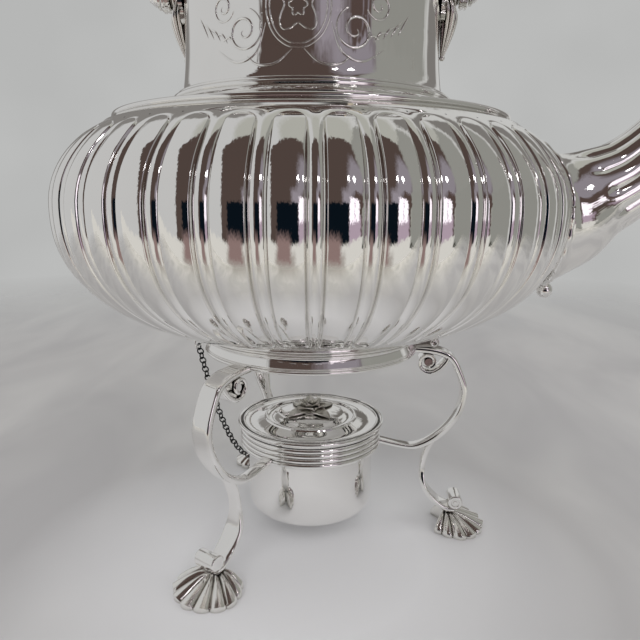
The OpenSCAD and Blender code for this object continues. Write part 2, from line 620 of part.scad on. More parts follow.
// Long ring that hangs in the eye, so that the pin slides along its upper bar
pin_ring_y = pin_back + pin_len - pin_travel / 2;
pin_ring_z = pin_z - eye_drop - 0.25;
module wire(len, turn) rotate(turn) cylinder(r = ring_wire_r, h = len);
module lock_pin_ring() color(silver) translate([-pin_x, pin_ring_y, pin_ring_z]) union() {
    for (z = [0, -pin_ring_h]) translate([0, -pin_ring_len / 2, z]) wire(pin_ring_len, [-90, 0, 0]);
    for (end = [-1, 1]) translate([0, end * pin_ring_len / 2, -pin_ring_h / 2]) rotate([0, 90, 0])
        rotate([0, 0, end > 0 ? 0 : 180]) rotate_extrude(angle = 180) translate([pin_ring_h / 2, 0])
            circle(r = ring_wire_r, $fn = 16);
}

// Chain: round links, each turned a quarter from the last, on a hanging curve. Their even number
// lets the first hang round the ring's bar and the last hang in the anchor
chain_start = [-pin_x, pin_ring_y, pin_ring_z - pin_ring_h - link_seat + link_pitch / 2];
anchor_at = [for (s = [cos(120), sin(120), 0]) s * (knee_r - 25)] + [0, 0, arm_z - 2.9];
anchor_r = 4;
anchor_wire_r = 0.5;
chain_end = anchor_at - [0, 0, anchor_r + link_seat - link_pitch / 2];
chain_steps = 40;
function hang(t) = mix(chain_start, chain_end, t) - [0, 0, 4 * chain_sag * t * (1 - t)];
chain_run = [for (i = 0, s = 0; i <= chain_steps;
    s = s + norm(hang((i + 1) / chain_steps) - hang(i / chain_steps)), i = i + 1) s];
function along(s) = hang(lookup(s, [for (i = [0:chain_steps]) [chain_run[i], i / chain_steps]]));
chain_links = 2 * ceil(chain_run[chain_steps] / link_pitch / 2);
chain_pitch = chain_run[chain_steps] / chain_links;
module link(r, wire_r) rotate([90, 0, 0]) rotate_extrude($fn = 32) translate([r, 0])
    circle(r = wire_r, $fn = 16);
module lock_chain() color(iron) for (i = [0:chain_links - 1]) {
    c = along((i + 0.5) * chain_pitch);
    d = along((i + 1) * chain_pitch) - along(i * chain_pitch);
    u = d / norm(d);
    translate(c) rotate([0, acos(u[2]), atan2(u[1], u[0])]) rotate([0, 0, 90 * (i % 2)])
        link(link_r, chain_wire_r);
}
module chain_anchor() color(iron) translate(anchor_at) rotate([0, 0, 120]) rotate([0, 0, 90])
    link(anchor_r, anchor_wire_r);

// Burner: the cup's rounded corner is run through upwards (1) or downwards (-1)
function cup_bend(r, way) = [for (i = [0:8]) let (a = -45 + way * (90 * i / 8 - 45))
    [cup_r - cup_corner + r * cos(a), cup_bottom + cup_corner + r * sin(a)]];
module burner_cup() color(silver) rotate_extrude() union() {
    polygon(concat([[0, cup_bottom]], cup_bend(cup_corner, 1), [[cup_r, flange_z + flange_h],
        [cup_r - cup_wall, flange_z + flange_h]], cup_bend(cup_corner - cup_wall, -1),
        [[0, cup_bottom + cup_wall]]));
    translate([cup_r - 0.1, flange_z]) square([flange_r - cup_r + 0.1, flange_h]);
}
module burner_plate() color(silver) translate([0, 0, plate_z]) difference() {
    cylinder(r = cup_r - cup_wall, h = 1);
    translate([0, 0, -1]) cylinder(r = wick_tube_r - tight_gap, h = 3);
}
module wick_tube() color(silver) translate([0, 0, plate_z - 8]) difference() {
    cylinder(r = wick_tube_r, h = wick_top - plate_z + 6.4);
    translate([0, 0, -1]) cylinder(r = wick_tube_r - 0.8, h = 40);
}
module wick() color(cotton) translate([0, 0, cup_bottom + cup_wall + 1])
    cylinder(r = wick_tube_r - 0.9, h = wick_top - cup_bottom - cup_wall - 1);

// Lid of the burner: a rim, a dished ring and a raised boss in the middle
boss_edge_r = 19;
module burner_lid() color(silver) rotate_extrude() union() {
    translate([burner_lid_r - 0.8, burner_lid_z + 0.8]) circle(r = 0.8, $fn = 24);
    translate([0, burner_lid_z]) polygon([[burner_lid_r - 0.8, 0], [burner_lid_r - 0.8, 1.6],
        [burner_lid_r - 3, 1.6], [burner_lid_r - 5, 0.9], [boss_edge_r, 2.6],
        [boss_edge_r - 2.5, 2.2], [boss_edge_r - 4.5, 3.4], [8, 4.4], [0, 4.8], [0, 3.8], [8, 3.4],
        [boss_edge_r - 5, 2.4], [boss_edge_r - 2.5, 1.2], [boss_edge_r, 1.6], [burner_lid_r - 5, 0]]);
}
// Skirt under the lid, which keeps it centred in the cup and ends level with the underside of its flange
skirt_drop = flange_h + seat_gap;
skirt_wall = 0.8;
skirt_seat = 0.6;
module burner_lid_skirt() color(silver) rotate_extrude()
    translate([cup_r - cup_wall - 0.4 - skirt_wall, burner_lid_z - skirt_drop])
        square([skirt_wall, skirt_drop + skirt_seat]);
rose_z = burner_lid_z + 4.2;
petal_r = 2.5;
leaf_r = 4;
module burner_lid_rose() color(silver) translate([0, 0, rose_z]) union() {
    cylinder(r = 6.4, h = 1.2);
    translate([0, 0, 3]) sphere(r = petal_r, $fn = 24);
    for (a = [0:72:359]) rotate([0, 0, a]) translate([3.6, 0, 2]) sphere(r = petal_r, $fn = 24);
    for (a = [36:90:359]) rotate([0, 0, a]) translate([9.2, 0, 0.2]) intersection() {
        sphere(r = leaf_r, $fn = 24);
        translate([-leaf_r, -2.4, -0.9]) cube([leaf_r * 2, 4.8, 1.9]);
    }
}

kettle_body();
kettle_base();
kettle_shoulder();
kettle_neck();
neck_rim();
kettle_foot_rim();
kettle_hinge_lug();
kettle_latch_lug();
spout();
spout_collar();
spout_drop();
handle_bracket_spout();
handle_bracket_back();
handle_pivot_spout();
handle_pivot_back();
neck_hinge_leaf();
lid_hinge_leaf();
lid_hinge_pin();
lid_dome();
lid_bezel();
finial_base();
finial_insulator();
finial_knob();
finial_nut();
handle_arm_spout();
handle_arm_back();
handle_ferrule_spout();
handle_ferrule_back();
handle_grip();
stand_ring();
stand_hinge_lug();
stand_latch_lug();
hinge_pin();
leg_spout();
leg_front();
leg_rear();
branch_spout();
branch_front();
branch_rear();
foot_spout();
foot_front();
foot_rear();
burner_ring();
lock_pin();
lock_pin_ring();
lock_chain();
chain_anchor();
burner_cup();
burner_plate();
wick_tube();
wick();
burner_lid();
burner_lid_skirt();
burner_lid_rose();
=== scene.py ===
"""Spirit kettle on its stand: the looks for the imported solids. Lengths in the tables are millimetres."""
from math import acos, atan, ceil, cos, dist, pi, radians, sin, sqrt

import bmesh
import bpy
from mathutils import Matrix, Vector


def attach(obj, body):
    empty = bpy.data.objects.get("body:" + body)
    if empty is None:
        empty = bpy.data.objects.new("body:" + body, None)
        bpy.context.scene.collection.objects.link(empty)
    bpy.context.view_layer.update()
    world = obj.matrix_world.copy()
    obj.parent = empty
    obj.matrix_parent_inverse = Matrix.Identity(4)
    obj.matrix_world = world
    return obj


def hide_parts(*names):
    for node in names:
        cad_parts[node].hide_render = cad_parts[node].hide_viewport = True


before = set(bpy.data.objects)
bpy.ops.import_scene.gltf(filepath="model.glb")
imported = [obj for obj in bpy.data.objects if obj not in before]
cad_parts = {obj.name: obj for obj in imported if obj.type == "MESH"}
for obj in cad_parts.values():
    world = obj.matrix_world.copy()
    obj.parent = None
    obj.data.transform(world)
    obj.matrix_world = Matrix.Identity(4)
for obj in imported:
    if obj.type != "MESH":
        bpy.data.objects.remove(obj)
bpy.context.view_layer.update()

MM = 0.001
TAU = 2 * pi


def oval(high, wide, angle):
    return high * cos(angle), wide * sin(angle)


def polar(r, angle):
    return oval(r, r, angle)


def shares(n):
    """From 0 to 1 in n steps."""
    return [i / n for i in range(n + 1)]


def turns(n):
    """The angles of n points round a circle."""
    return [TAU * i / n for i in range(n)]


def add_object(name, data):
    item = bpy.data.objects.new(name, data)
    bpy.context.scene.collection.objects.link(item)
    return item


# Camera, fitted to the photograph
CAMERA_PLACE = (23.806, -253.937, 145.8)
CAMERA_TURN = 0.0786
CAMERA_PITCH = 0.205
CAMERA_ROLL = 0.0079
CAMERA_FOCUS = 604
CAMERA_NEAR = 10
FRAME_PIXELS = 640
SENSOR = 36


def add_camera():
    data = bpy.data.cameras.new("camera")
    data.sensor_width = SENSOR
    data.lens = CAMERA_FOCUS / FRAME_PIXELS * SENSOR
    data.clip_start = CAMERA_NEAR * MM
    camera = add_object("camera", data)
    turn = (Matrix.Rotation(CAMERA_TURN, 4, "Z") @ Matrix.Rotation(pi / 2 - CAMERA_PITCH, 4, "X")
            @ Matrix.Rotation(CAMERA_ROLL, 4, "Z"))
    camera.matrix_world = Matrix.Translation(Vector(CAMERA_PLACE) * MM) @ turn
    bpy.context.scene.camera = camera


add_camera()
bpy.context.scene.view_settings.view_transform = "Standard"


# Node trees
class Nodes:
    """A short way to add nodes to one tree."""

    def __init__(self, tree):
        self.tree = tree

    def put(self, socket, value):
        """Links a node's first output or a given one, or sets a plain value. Colours have three numbers."""
        if isinstance(value, bpy.types.Node):
            value = value.outputs[0]
        if isinstance(value, bpy.types.NodeSocket):
            self.tree.links.new(value, socket)
        else:
            socket.default_value = (*value, 1) if socket.type == "RGBA" else value

    def add(self, kind, inputs=(), **settings):
        node = self.tree.nodes.new(kind)
        for name, value in settings.items():
            setattr(node, name, value)
        for key, value in dict(inputs).items():
            self.put(node.inputs[key], value)
        return node

    def math(self, operation, *values, clamp=False):
        node = self.add("ShaderNodeMath", operation=operation, use_clamp=clamp)
        for socket, value in zip(node.inputs, values):
            self.put(socket, value)
        return node.outputs[0]

    def vector(self, operation, *values, output=0):
        return self.add("ShaderNodeVectorMath", dict(enumerate(values)), operation=operation).outputs[output]

    def ramp(self, value, start, length):
        """0 up to the start, rising to 1 over the length."""
        return self.math("DIVIDE", self.math("SUBTRACT", value, start), length, clamp=True)

    def gain(self, value, start, factor):
        """0 up to the start, rising to 1 by the factor."""
        return self.math("MULTIPLY", self.math("SUBTRACT", value, start), factor, clamp=True)

    def band(self, value, low, high, soft):
        """1 between low and high, falling to 0 within soft past each."""
        return self.math("MULTIPLY", self.ramp(value, low - soft, soft), self.ramp(high + soft, value, soft))

    def mix(self, share, first, second):
        node = self.add("ShaderNodeMix", {0: share}, data_type="RGBA")
        self.put(node.inputs[6], first)
        self.put(node.inputs[7], second)
        return node.outputs[2]

    def noise(self, place, scale, detail=2.0, output="Fac", distortion=0.0):
        inputs = {"Vector": place, "Scale": scale, "Detail": detail, "Distortion": distortion}
        return self.add("ShaderNodeTexNoise", inputs).outputs[output]

    def bump(self, height, strength, distance):
        inputs = {"Height": height, "Strength": strength, "Distance": distance}
        return self.add("ShaderNodeBump", inputs)


# The room as polished metal sees it
# Each patch: degrees to the right, degrees up, softness, colour. It covers those before it. Round patches
# count degrees across as on a compass. Flat patches count them off the plane that the camera looks along,
# so that what hangs over the camera keeps its width up to the zenith. Level patches count as round ones
# do and cover the flat ones.
TENT = (0.42, 0.42, 0.385)
ROUND_PATCHES = [
    ((-180, -40), (-60, 66), 9, (0.54, 0.54, 0.54)),
    ((120, 180), (-60, 66), 9, (0.56, 0.56, 0.55)),
    ((57, 118), (-60, 66), 3, (0.27, 0.27, 0.25)),
    ((130, 146), (-6, 60), 5, (0.20, 0.19, 0.18)),
    ((166, 173), (-6, 60), 3, (0.15, 0.14, 0.13)),
    ((-152, -138), (-6, 60), 5, (0.22, 0.21, 0.20)),
]
FLAT_PATCHES = [
    ((-37, 54), (-60, 80), 1.5, (0.080, 0.057, 0.050)),
    ((24, 50), (26, 60), 9, (0.26, 0.235, 0.265)),
    ((12, 26), (8, 22), 7, (0.29, 0.26, 0.295)),
    ((37, 54), (11, 27), 2.5, (0.085, 0.058, 0.052)),
    ((25, 50), (-22, -4), 3, (0.42, 0.33, 0.40)),
    ((26, 46), (-4, 17), 2, (1.2, 1.1, 1.2)),
    ((36, 37), (-4, 17), 0.5, (0.6, 0.52, 0.62)),
    ((-23, 23), (-17, 10), 2.4, (0.003, 0.006, 0.010)),
    ((-90, 90), (-90, -20), 3, (0.66, 0.645, 0.61)),
    ((-24, 12), (-46, -30), 8, (0.40, 0.37, 0.34)),
    ((-21, 3), (-31, -16), 7, (0.26, 0.18, 0.17)),
    ((19, 22), (37, 40), 0.8, (10, 9.8, 10)),
    ((32, 35), (40, 43), 0.8, (10, 9.8, 10)),
]
LEVEL_PATCHES = [
    ((66, 118), (18, 62), 7, (0.28, 0.28, 0.26)),
    ((58, 118), (-16, 18), 2, (0.27, 0.27, 0.25)),
    ((58, 118), (-18.2, -16.2), 0.6, (0.06, 0.06, 0.05)),
]
# Wobbles of the mirrored room: scale and detail of the noise, and how far it bends the view
WOBBLES = [(7.0, 3.0, 0.09), (26.0, 2.0, 0.144)]
# The backdrop that the camera sees: scale, start and gain of its clouds, and its two tones
BACKDROP_SCALE, BACKDROP_START, BACKDROP_GAIN = 5.0, 0.35, 2.6
BACKDROP_TONES = (0.468, 0.4725, 0.468), (0.52, 0.525, 0.52)


def add_world():
    world = bpy.data.worlds.new("room")
    bpy.context.scene.world = world
    world.use_nodes = True
    tree = world.node_tree
    tree.nodes.clear()
    n = Nodes(tree)
    toward = n.add("ShaderNodeTexCoord").outputs["Generated"]
    bent = toward
    for scale, detail, bend in WOBBLES:
        wobble = n.vector("SUBTRACT", n.noise(toward, scale, detail, "Color"), (0.5, 0.5, 0.5))
        bent = n.vector("MULTIPLY_ADD", wobble, (bend, bend, bend), bent)
    right, away, up = n.add("ShaderNodeSeparateXYZ", {0: n.vector("NORMALIZE", bent)}).outputs
    front = n.math("MULTIPLY", away, -1)

    def degrees(*angle):
        return n.math("MULTIPLY", n.math(*angle), 360 / TAU)
    compass = (degrees("ARCTAN2", right, front), degrees("ARCSINE", up))
    flat = (degrees("ARCSINE", right), degrees("ARCTAN2", up, front))
    colour = TENT
    layers = ((ROUND_PATCHES, compass), (FLAT_PATCHES, flat), (LEVEL_PATCHES, compass))
    for patches, (across, height) in layers:
        for (left, end), (low, high), soft, tone in patches:
            share = n.math("MULTIPLY", n.band(across, left, end, soft), n.band(height, low, high, soft))
            colour = n.mix(share, colour, tone)
    room = n.add("ShaderNodeBackground", {"Color": colour})
    clouds = n.gain(n.noise(toward, BACKDROP_SCALE), BACKDROP_START, BACKDROP_GAIN)
    plain = n.add("ShaderNodeBackground", {"Color": n.mix(clouds, *BACKDROP_TONES)})
    seen = n.add("ShaderNodeLightPath").outputs["Is Camera Ray"]
    both = n.add("ShaderNodeMixShader", {0: seen, 1: room, 2: plain})
    n.add("ShaderNodeOutputWorld", {"Surface": both})


add_world()

# Broad soft lamps that light the scene without showing in the metal: place, aim and size in metres, power
LAMPS = [
    ((-0.35, -0.25, 1.1), (0, 0, 0), 0.9, 2.0),
    ((0.75, -0.1, 0.7), (0, 0, 0), 0.8, 2.0),
    ((0, -0.75, 0.5), (0, 0.05, 0), 0.8, 3.0),
    ((-0.1, 0.8, 0.9), (0, 0.1, 0), 0.8, 1.6),
]


def add_lamps():
    for spot, aim, size, power in LAMPS:
        data = bpy.data.lights.new("softbox", "AREA")
        data.size = size
        data.energy = power
        lamp = add_object("softbox", data)
        lamp.location = spot
        lamp.rotation_euler = (Vector(aim) - Vector(spot)).to_track_quat("-Z", "Y").to_euler()
        lamp.visible_glossy = False


add_lamps()


# Materials
def new_material(name, rough, metal=0.0):
    """A material with its nodes, the inputs of its surface and the place on the object."""
    material = bpy.data.materials.new(name)
    material.use_nodes = True
    n = Nodes(material.node_tree)
    surface = material.node_tree.nodes["Principled BSDF"].inputs
    surface["Roughness"].default_value = rough
    surface["Metallic"].default_value = metal
    return material, n, surface, n.add("ShaderNodeTexCoord").outputs["Object"]


# Painted shade in narrow grooves and where parts meet: the colour it darkens to, and the ambient occlusion
# level where it starts
CREVICE_SHADE = (0.16, 0.14, 0.11)
CREVICE_SHADE_START = 0.82
CLOUD_SCALE, CLOUD_DEPTH = 70.0, 0.001
CLOUD_DARKER = 0.96


def make_silver(name, colour, rough, wave=0.05, crevice_shade=0.55, reach=0.8):
    """Polished metal: faint clouds in its tone and polish, a slight wave, and painted shade in narrow grooves
    and where parts meet.
    """
    material, n, surface, place = new_material(name, rough, 1.0)
    cloud = n.noise(place, CLOUD_SCALE)
    clean = n.mix(cloud, colour, [c * CLOUD_DARKER for c in colour])
    open_share = n.add("ShaderNodeAmbientOcclusion", {"Distance": reach * MM}, samples=4).outputs["AO"]
    # Painted shade: the colour darkens where the ambient occlusion node finds narrow grooves or nearby parts
    n.put(surface["Base Color"], n.mix(n.gain(CREVICE_SHADE_START, open_share, crevice_shade * 2), clean, CREVICE_SHADE))
    fine = n.noise(place, 10 * CLOUD_SCALE, 3.0)
    spread = n.add("ShaderNodeMapRange", {"Value": fine, "To Min": rough * 0.5, "To Max": rough * 1.5})
    n.put(surface["Roughness"], spread)
    n.put(surface["Normal"], n.bump(cloud, wave, CLOUD_DEPTH))
    return material


def make_wood():
    """Dark polished wood with a fine grain along X."""
    material, n, surface, place = new_material("ebonised_wood", 0.28)
    stretched = n.add("ShaderNodeMapping", {"Vector": place, "Scale": (60, 900, 900)})
    grain = n.noise(stretched, 1.0, 5.0)
    n.put(surface["Base Color"], n.mix(grain, (0.006, 0.004, 0.003), (0.035, 0.021, 0.014)))
    n.put(surface["Normal"], n.bump(grain, 0.08, 0.0003))
    return material


def make_mottled(name, rough, scale, detail, first, second):
    material, n, surface, place = new_material(name, rough)
    n.put(surface["Base Color"], n.mix(n.noise(place, scale, detail), first, second))
    return material


def make_dark_wire():
    """Blackened wire, rubbed bright in places."""
    material, n, surface, place = new_material("dark_chain", 0.38, 0.9)
    rubbed = n.add("ShaderNodeMapRange", {"Value": n.noise(place, 500.0), "From Min": 0.5, "From Max": 0.75})
    n.put(surface["Base Color"], n.mix(rubbed, (0.012, 0.014, 0.014), (0.30, 0.31, 0.30)))
    return material


SILVER = make_silver("polished_silver", (0.955, 0.945, 0.925), 0.035)
BODY_SILVER = make_silver("body_silver", (0.955, 0.945, 0.925), 0.035, crevice_shade=0.2)
# Painted shadow: a dark copy of the silver for the ring laid in the burner lid's groove
GROOVE_SHADOW = make_silver("painted_groove_shadow", (0.09, 0.085, 0.075), 0.4, 0.2, 0)
SOFT_SILVER = make_silver("cast_silver", (0.95, 0.93, 0.87), 0.34, 0.3, 0.5, 2.0)
CAST_SILVER = make_silver("chased_silver", (0.95, 0.935, 0.90), 0.15, 0.1, 0.6, 2.4)
# A darker copy of the polished silver, used only on the hinge cheeks
DARK_SILVER = make_silver("darker_silver", (0.42, 0.40, 0.38), 0.22, 0.2)
WOOD = make_wood()
IVORY = make_mottled("ivory_coloured", 0.35, 300.0, 3.0, (0.74, 0.66, 0.50), (0.80, 0.74, 0.60))
DARK_WIRE = make_dark_wire()
COTTON = make_mottled("wick_cotton", 0.95, 1500.0, 2.0, (0.62, 0.58, 0.50), (0.85, 0.82, 0.75))


# Floor: cloth with painted fold shading, a painted pool of light round the stand, patchy painted shade in
# front, and one painted soft shadow there
FLOOR_REACH, FLOOR_SIDES = 1200, 64
FADE_START, FADE_LENGTH = 350, 600
TABLE_FRONT, TABLE_SOFT = 270, 20
# Painted fold shading: the turn and scale of its streaks, and its two tones
FOLD_TURN, FOLD_SCALE = 0.45, (11, 4.2, 1)
FOLD_SHADING_TONES = (0.52, 0.515, 0.52), (0.635, 0.63, 0.625)
# Painted pool of light: paler cloth within a circle round the stand, lifting the shadow there
LIT_POOL_Y, LIT_POOL_R, LIT_POOL_SOFT = -30, 120, 70
LIT_POOL_TONE = (0.87, 0.875, 0.89)
# Painted patchy shade: blotches of darker cloth towards the front, which the lower lobes reflect
NEAR_Y, NEAR_SOFT, NEAR_SCALE = -120, 120, 11.0
NEAR_SHADE_TONES = (0.62, 0.61, 0.56), (0.82, 0.80, 0.75)
SHADE_X, SHADE_Y = (-60, 40, 60), (-400, -240, 50)
SHADE_SHARE, SHADE_TONE = 0.6, (0.34, 0.31, 0.28)


def make_floor_material():
    """Pale cloth. It fades out before its edge, and ends where the table does."""
    material, n, surface, place = new_material("pale_cloth", 0.95)
    surface["Specular IOR Level"].default_value = 0.1
    right, away = n.add("ShaderNodeSeparateXYZ", {0: place}).outputs[:2]
    # Painted shade: streaks of darker cloth that stand for the shading of soft folds
    lay = n.add("ShaderNodeMapping", {"Vector": place, "Rotation": (0, 0, FOLD_TURN), "Scale": FOLD_SCALE})
    fold_shading = n.gain(n.noise(lay, 1.0, 3.0, distortion=0.8), 0.35, 3.0)
    # Painted light: paler cloth round the stand
    middle = n.vector("LENGTH", n.vector("SUBTRACT", place, (0, LIT_POOL_Y * MM, 0)), output="Value")
    tone = n.mix(n.ramp(LIT_POOL_R * MM, middle, LIT_POOL_SOFT * MM), n.mix(fold_shading, *FOLD_SHADING_TONES), LIT_POOL_TONE)
    # Painted patchy shade on the cloth in front
    patchy_shade = n.gain(n.noise(place, NEAR_SCALE, distortion=1.5), 0.36, 3.6)
    wide, deep = n.band(right, *(c * MM for c in SHADE_X)), n.band(away, *(c * MM for c in SHADE_Y))
    shade = n.math("MULTIPLY", n.math("MULTIPLY", wide, deep), SHADE_SHARE)
    cloth = n.mix(shade, n.mix(patchy_shade, *NEAR_SHADE_TONES), SHADE_TONE)
    n.put(surface["Base Color"], n.mix(n.ramp(NEAR_Y * MM, away, NEAR_SOFT * MM), tone, cloth))
    far = n.ramp(n.vector("LENGTH", place, output="Value"), FADE_START * MM, FADE_LENGTH * MM)
    front = n.ramp(away, -TABLE_FRONT * MM, TABLE_SOFT * MM)
    n.put(surface["Alpha"], n.math("MULTIPLY", n.math("SUBTRACT", 1, far), front))
    return material


def add_floor():
    mesh = bpy.data.meshes.new("floor")
    ring = [(*polar(FLOOR_REACH * MM, a), 0) for a in turns(FLOOR_SIDES)]
    mesh.from_pydata(ring, [], [list(range(FLOOR_SIDES))])
    mesh.materials.append(make_floor_material())
    floor = add_object("floor", mesh)


add_floor()


# Curves and shapes, all in millimetres
def smooth(t):
    t = min(1, max(0, t))
    return t * t * (3 - 2 * t)


def mix(a, b, t):
    return a + (b - a) * t


def mix_points(a, b, t):
    return tuple(mix(x, y, t) for x, y in zip(a, b))


def lookup(table, x):
    """Straight-line reading of a table of (x, value)."""
    if x <= table[0][0]:
        return table[0][1]
    for (x0, v0), (x1, v1) in zip(table, table[1:]):
        if x <= x1:
            return mix(v0, v1, (x - x0) / (x1 - x0))
    return table[-1][1]


def spline(points, steps):
    """A smooth line through the points."""
    out = []
    last = len(points) - 1
    for i in range(last):
        a, b, c, d = (points[min(max(k, 0), last)] for k in (i - 1, i, i + 1, i + 2))
        for j in range(steps):
            t = j / steps
            out.append(tuple(0.5 * (2 * q + (r - p) * t + (2 * p - 5 * q + 4 * r - s) * t * t
                                    + (3 * q - p - 3 * r + s) * t ** 3) for p, q, r, s in zip(a, b, c, d)))
    out.append(tuple(points[-1]))
    return out


def off(x, z, *points):
    """The points, counted from (x, z)."""
    return [(x + a, z + b) for a, b in points]


def arc(x, z, r, start, end, steps):
    """Points on a circle from one angle to another, in degrees."""
    return off(x, z, *(polar(r, radians(mix(start, end, k))) for k in shares(steps)))


def heading(path, i, closed=False):
    last = len(path) - 1
    a, b = (i - 1, (i + 1) % len(path)) if closed else (max(i - 1, 0), min(i + 1, last))
    return (Vector(path[b]) - Vector(path[a])).normalized()


def grid(rings, around=True, along=False, caps=False):
    """Points and faces of a skin over rings that all have the same number of points."""
    n, m = len(rings[0]), len(rings)
    points = [tuple(p) for ring in rings for p in ring]
    faces = []
    for i in range(m if along else m - 1):
        a, b = i * n, (i + 1) % m * n
        for j in range(n if around else n - 1):
            k = (j + 1) % n
            faces.append((a + j, a + k, b + k, b + j))
    if caps:
        faces += [tuple(range(n))[::-1], tuple((m - 1) * n + j for j in range(n))]
    return points, faces


def joined(*shapes):
    points, faces = [], []
    for more, skin in shapes:
        base = len(points)
        points += more
        faces += [tuple(base + k for k in face) for face in skin]
    return points, faces


def moved(shape, matrix):
    return [tuple(matrix @ Vector(p)) for p in shape[0]], shape[1]


def raised(shape, x=0, y=0, z=0):
    return moved(shape, Matrix.Translation((x, y, z)))


def mirrored_x(shape):
    return [(-x, y, z) for x, y, z in shape[0]], shape[1]


# Turns that lay the Z axis along another
TO_X = Matrix.Rotation(TAU / 4, 4, "Y")
TO_Y = Matrix.Rotation(-TAU / 4, 4, "X")
TO_MINUS_Y = Matrix.Rotation(TAU / 4, 4, "X")


def turned(profile, steps):
    """The closed profile (radius, height) turned round the Z axis."""
    return grid([[(*polar(r, a), z) for r, z in profile] for a in turns(steps)], along=True)


def about_z(shape, turn):
    return moved(shape, Matrix.Rotation(radians(turn), 4, "Z"))


def carried(path, sections):
    """Sections (across, along Y) carried along a path in the XZ plane."""
    rings = []
    for i, section in enumerate(sections):
        t = heading(path, i)
        rings.append([(path[i][0] + s * t[1], y, path[i][1] - s * t[0]) for s, y in section])
    return grid(rings, caps=True)


def disc(r, n):
    return [polar(r, a) for a in turns(n)]


def tube(path, radii, n, closed=False):
    """A round bar along a path in space, with a radius for each point."""
    rings = []
    for i, (p, r) in enumerate(zip(path, radii)):
        t = heading(path, i, closed)
        side = t.cross(Vector((0, 0, 1)))
        if side.length < 0.05:
            side = t.cross(Vector((0, 1, 0)))
        side.normalize()
        top = side.cross(t)
        rings.append([Vector(p) + side * r * cos(a) + top * r * sin(a) for a in turns(n)])
    return grid(rings, along=closed, caps=not closed)


def ball(centre, r, steps=32):
    return raised(turned([polar(r, radians(a)) for a in range(-90, 91, 6)], steps), *centre)


def tidy(mesh, sharp):
    """Welds the seams, turns the faces outward and shades smoothly up to an angle."""
    shape = bmesh.new()
    shape.from_mesh(mesh)
    bmesh.ops.remove_doubles(shape, verts=shape.verts, dist=0.002 * MM)
    bmesh.ops.recalc_face_normals(shape, faces=shape.faces)
    shape.to_mesh(mesh)
    shape.free()
    mesh.polygons.foreach_set("use_smooth", [True] * len(mesh.polygons))
    mesh.set_sharp_from_angle(angle=radians(sharp))


def settle(name, mesh, body, node, sharp):
    """Adds a finished mesh as a piece, with the body that carries it and the solid that it replaces."""
    tidy(mesh, sharp)
    piece = add_object(name, mesh)
    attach(piece, body)
    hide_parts(node)


def new_mesh(name, shape, material):
    points, faces = shape
    mesh = bpy.data.meshes.new(name)
    edges = [face for face in faces if len(face) == 2]
    mesh.from_pydata([tuple(c * MM for c in p) for p in points], edges, [] if edges else faces)
    mesh.materials.append(material)
    return mesh


def add_piece(name, shape, material, body, node, sharp=40):
    settle(name, new_mesh(name, shape, material), body, node, sharp)


def add_turned(node, profile, body, steps=256, material=SILVER, sharp=40):
    """A turned piece that replaces the solid it is named after."""
    add_piece(node + "_turned", turned(profile, steps), material, body, node, sharp=sharp)


# Geometry Nodes: copies that repeat round an axis, and links along a curve
class Repeat:
    """A small geometry tree with named inputs, run on a mesh and turned into a plain piece."""

    def __init__(self, name):
        self.tree = bpy.data.node_groups.new(name, "GeometryNodeTree")
        self.tree.is_modifier = True
        self.values = {}
        for way in ("INPUT", "OUTPUT"):
            self.tree.interface.new_socket("Geometry", in_out=way, socket_type="NodeSocketGeometry")
        self.n = Nodes(self.tree)
        self.start = self.tree.nodes.new("NodeGroupInput")
        self.end = self.tree.nodes.new("NodeGroupOutput")

    def named(self, name, value, kind="NodeSocketFloat"):
        socket = self.tree.interface.new_socket(name, in_out="INPUT", socket_type=kind)
        self.values[socket.identifier] = value
        return self.start.outputs[name]

    def finish(self, points, shape, turn):
        """Puts copies of the shape on the points, makes them real, paints them and hands them over."""
        inputs = {"Points": points, "Instance": shape, "Rotation": turn}
        copies = self.n.add("GeometryNodeInstanceOnPoints", inputs)
        real = self.n.add("GeometryNodeRealizeInstances", {"Geometry": copies})
        colour = self.named("Material", None, "NodeSocketMaterial")
        paint = self.n.add("GeometryNodeSetMaterial", {"Geometry": real, "Material": colour})
        self.n.put(self.end.inputs[0], paint)
        return self

    def piece(self, name, shape, material, body, node, sharp=40):
        """Runs the tree on the shape and adds what comes out as one plain mesh."""
        source = add_object(name + "_source", new_mesh(name + "_source", shape, material))
        modifier = source.modifiers.new("repeat", "NODES")
        modifier.node_group = self.tree
        for identifier, value in self.values.items():
            modifier[identifier] = material if value is None else value
        depsgraph = bpy.context.evaluated_depsgraph_get()
        mesh = bpy.data.meshes.new_from_object(source.evaluated_get(depsgraph), depsgraph=depsgraph)
        bpy.data.objects.remove(source)
        mesh.name = name
        mesh.materials.clear()
        mesh.materials.append(material)
        mesh.polygons.foreach_set("material_index", [0] * len(mesh.polygons))
        settle(name, mesh, body, node, sharp)


def repeat_round(name, count):
    """Copies of the shape at equal steps round the Z axis."""
    tool = Repeat(name)
    n = tool.n
    number = tool.named("Count", count, "NodeSocketInt")
    points = n.add("GeometryNodePoints", {"Count": number})
    share = n.math("DIVIDE", n.add("GeometryNodeInputIndex"), number)
    turn = n.add("ShaderNodeCombineXYZ", {"Z": n.math("MULTIPLY", share, TAU)})
    return tool.finish(points, tool.start, turn)


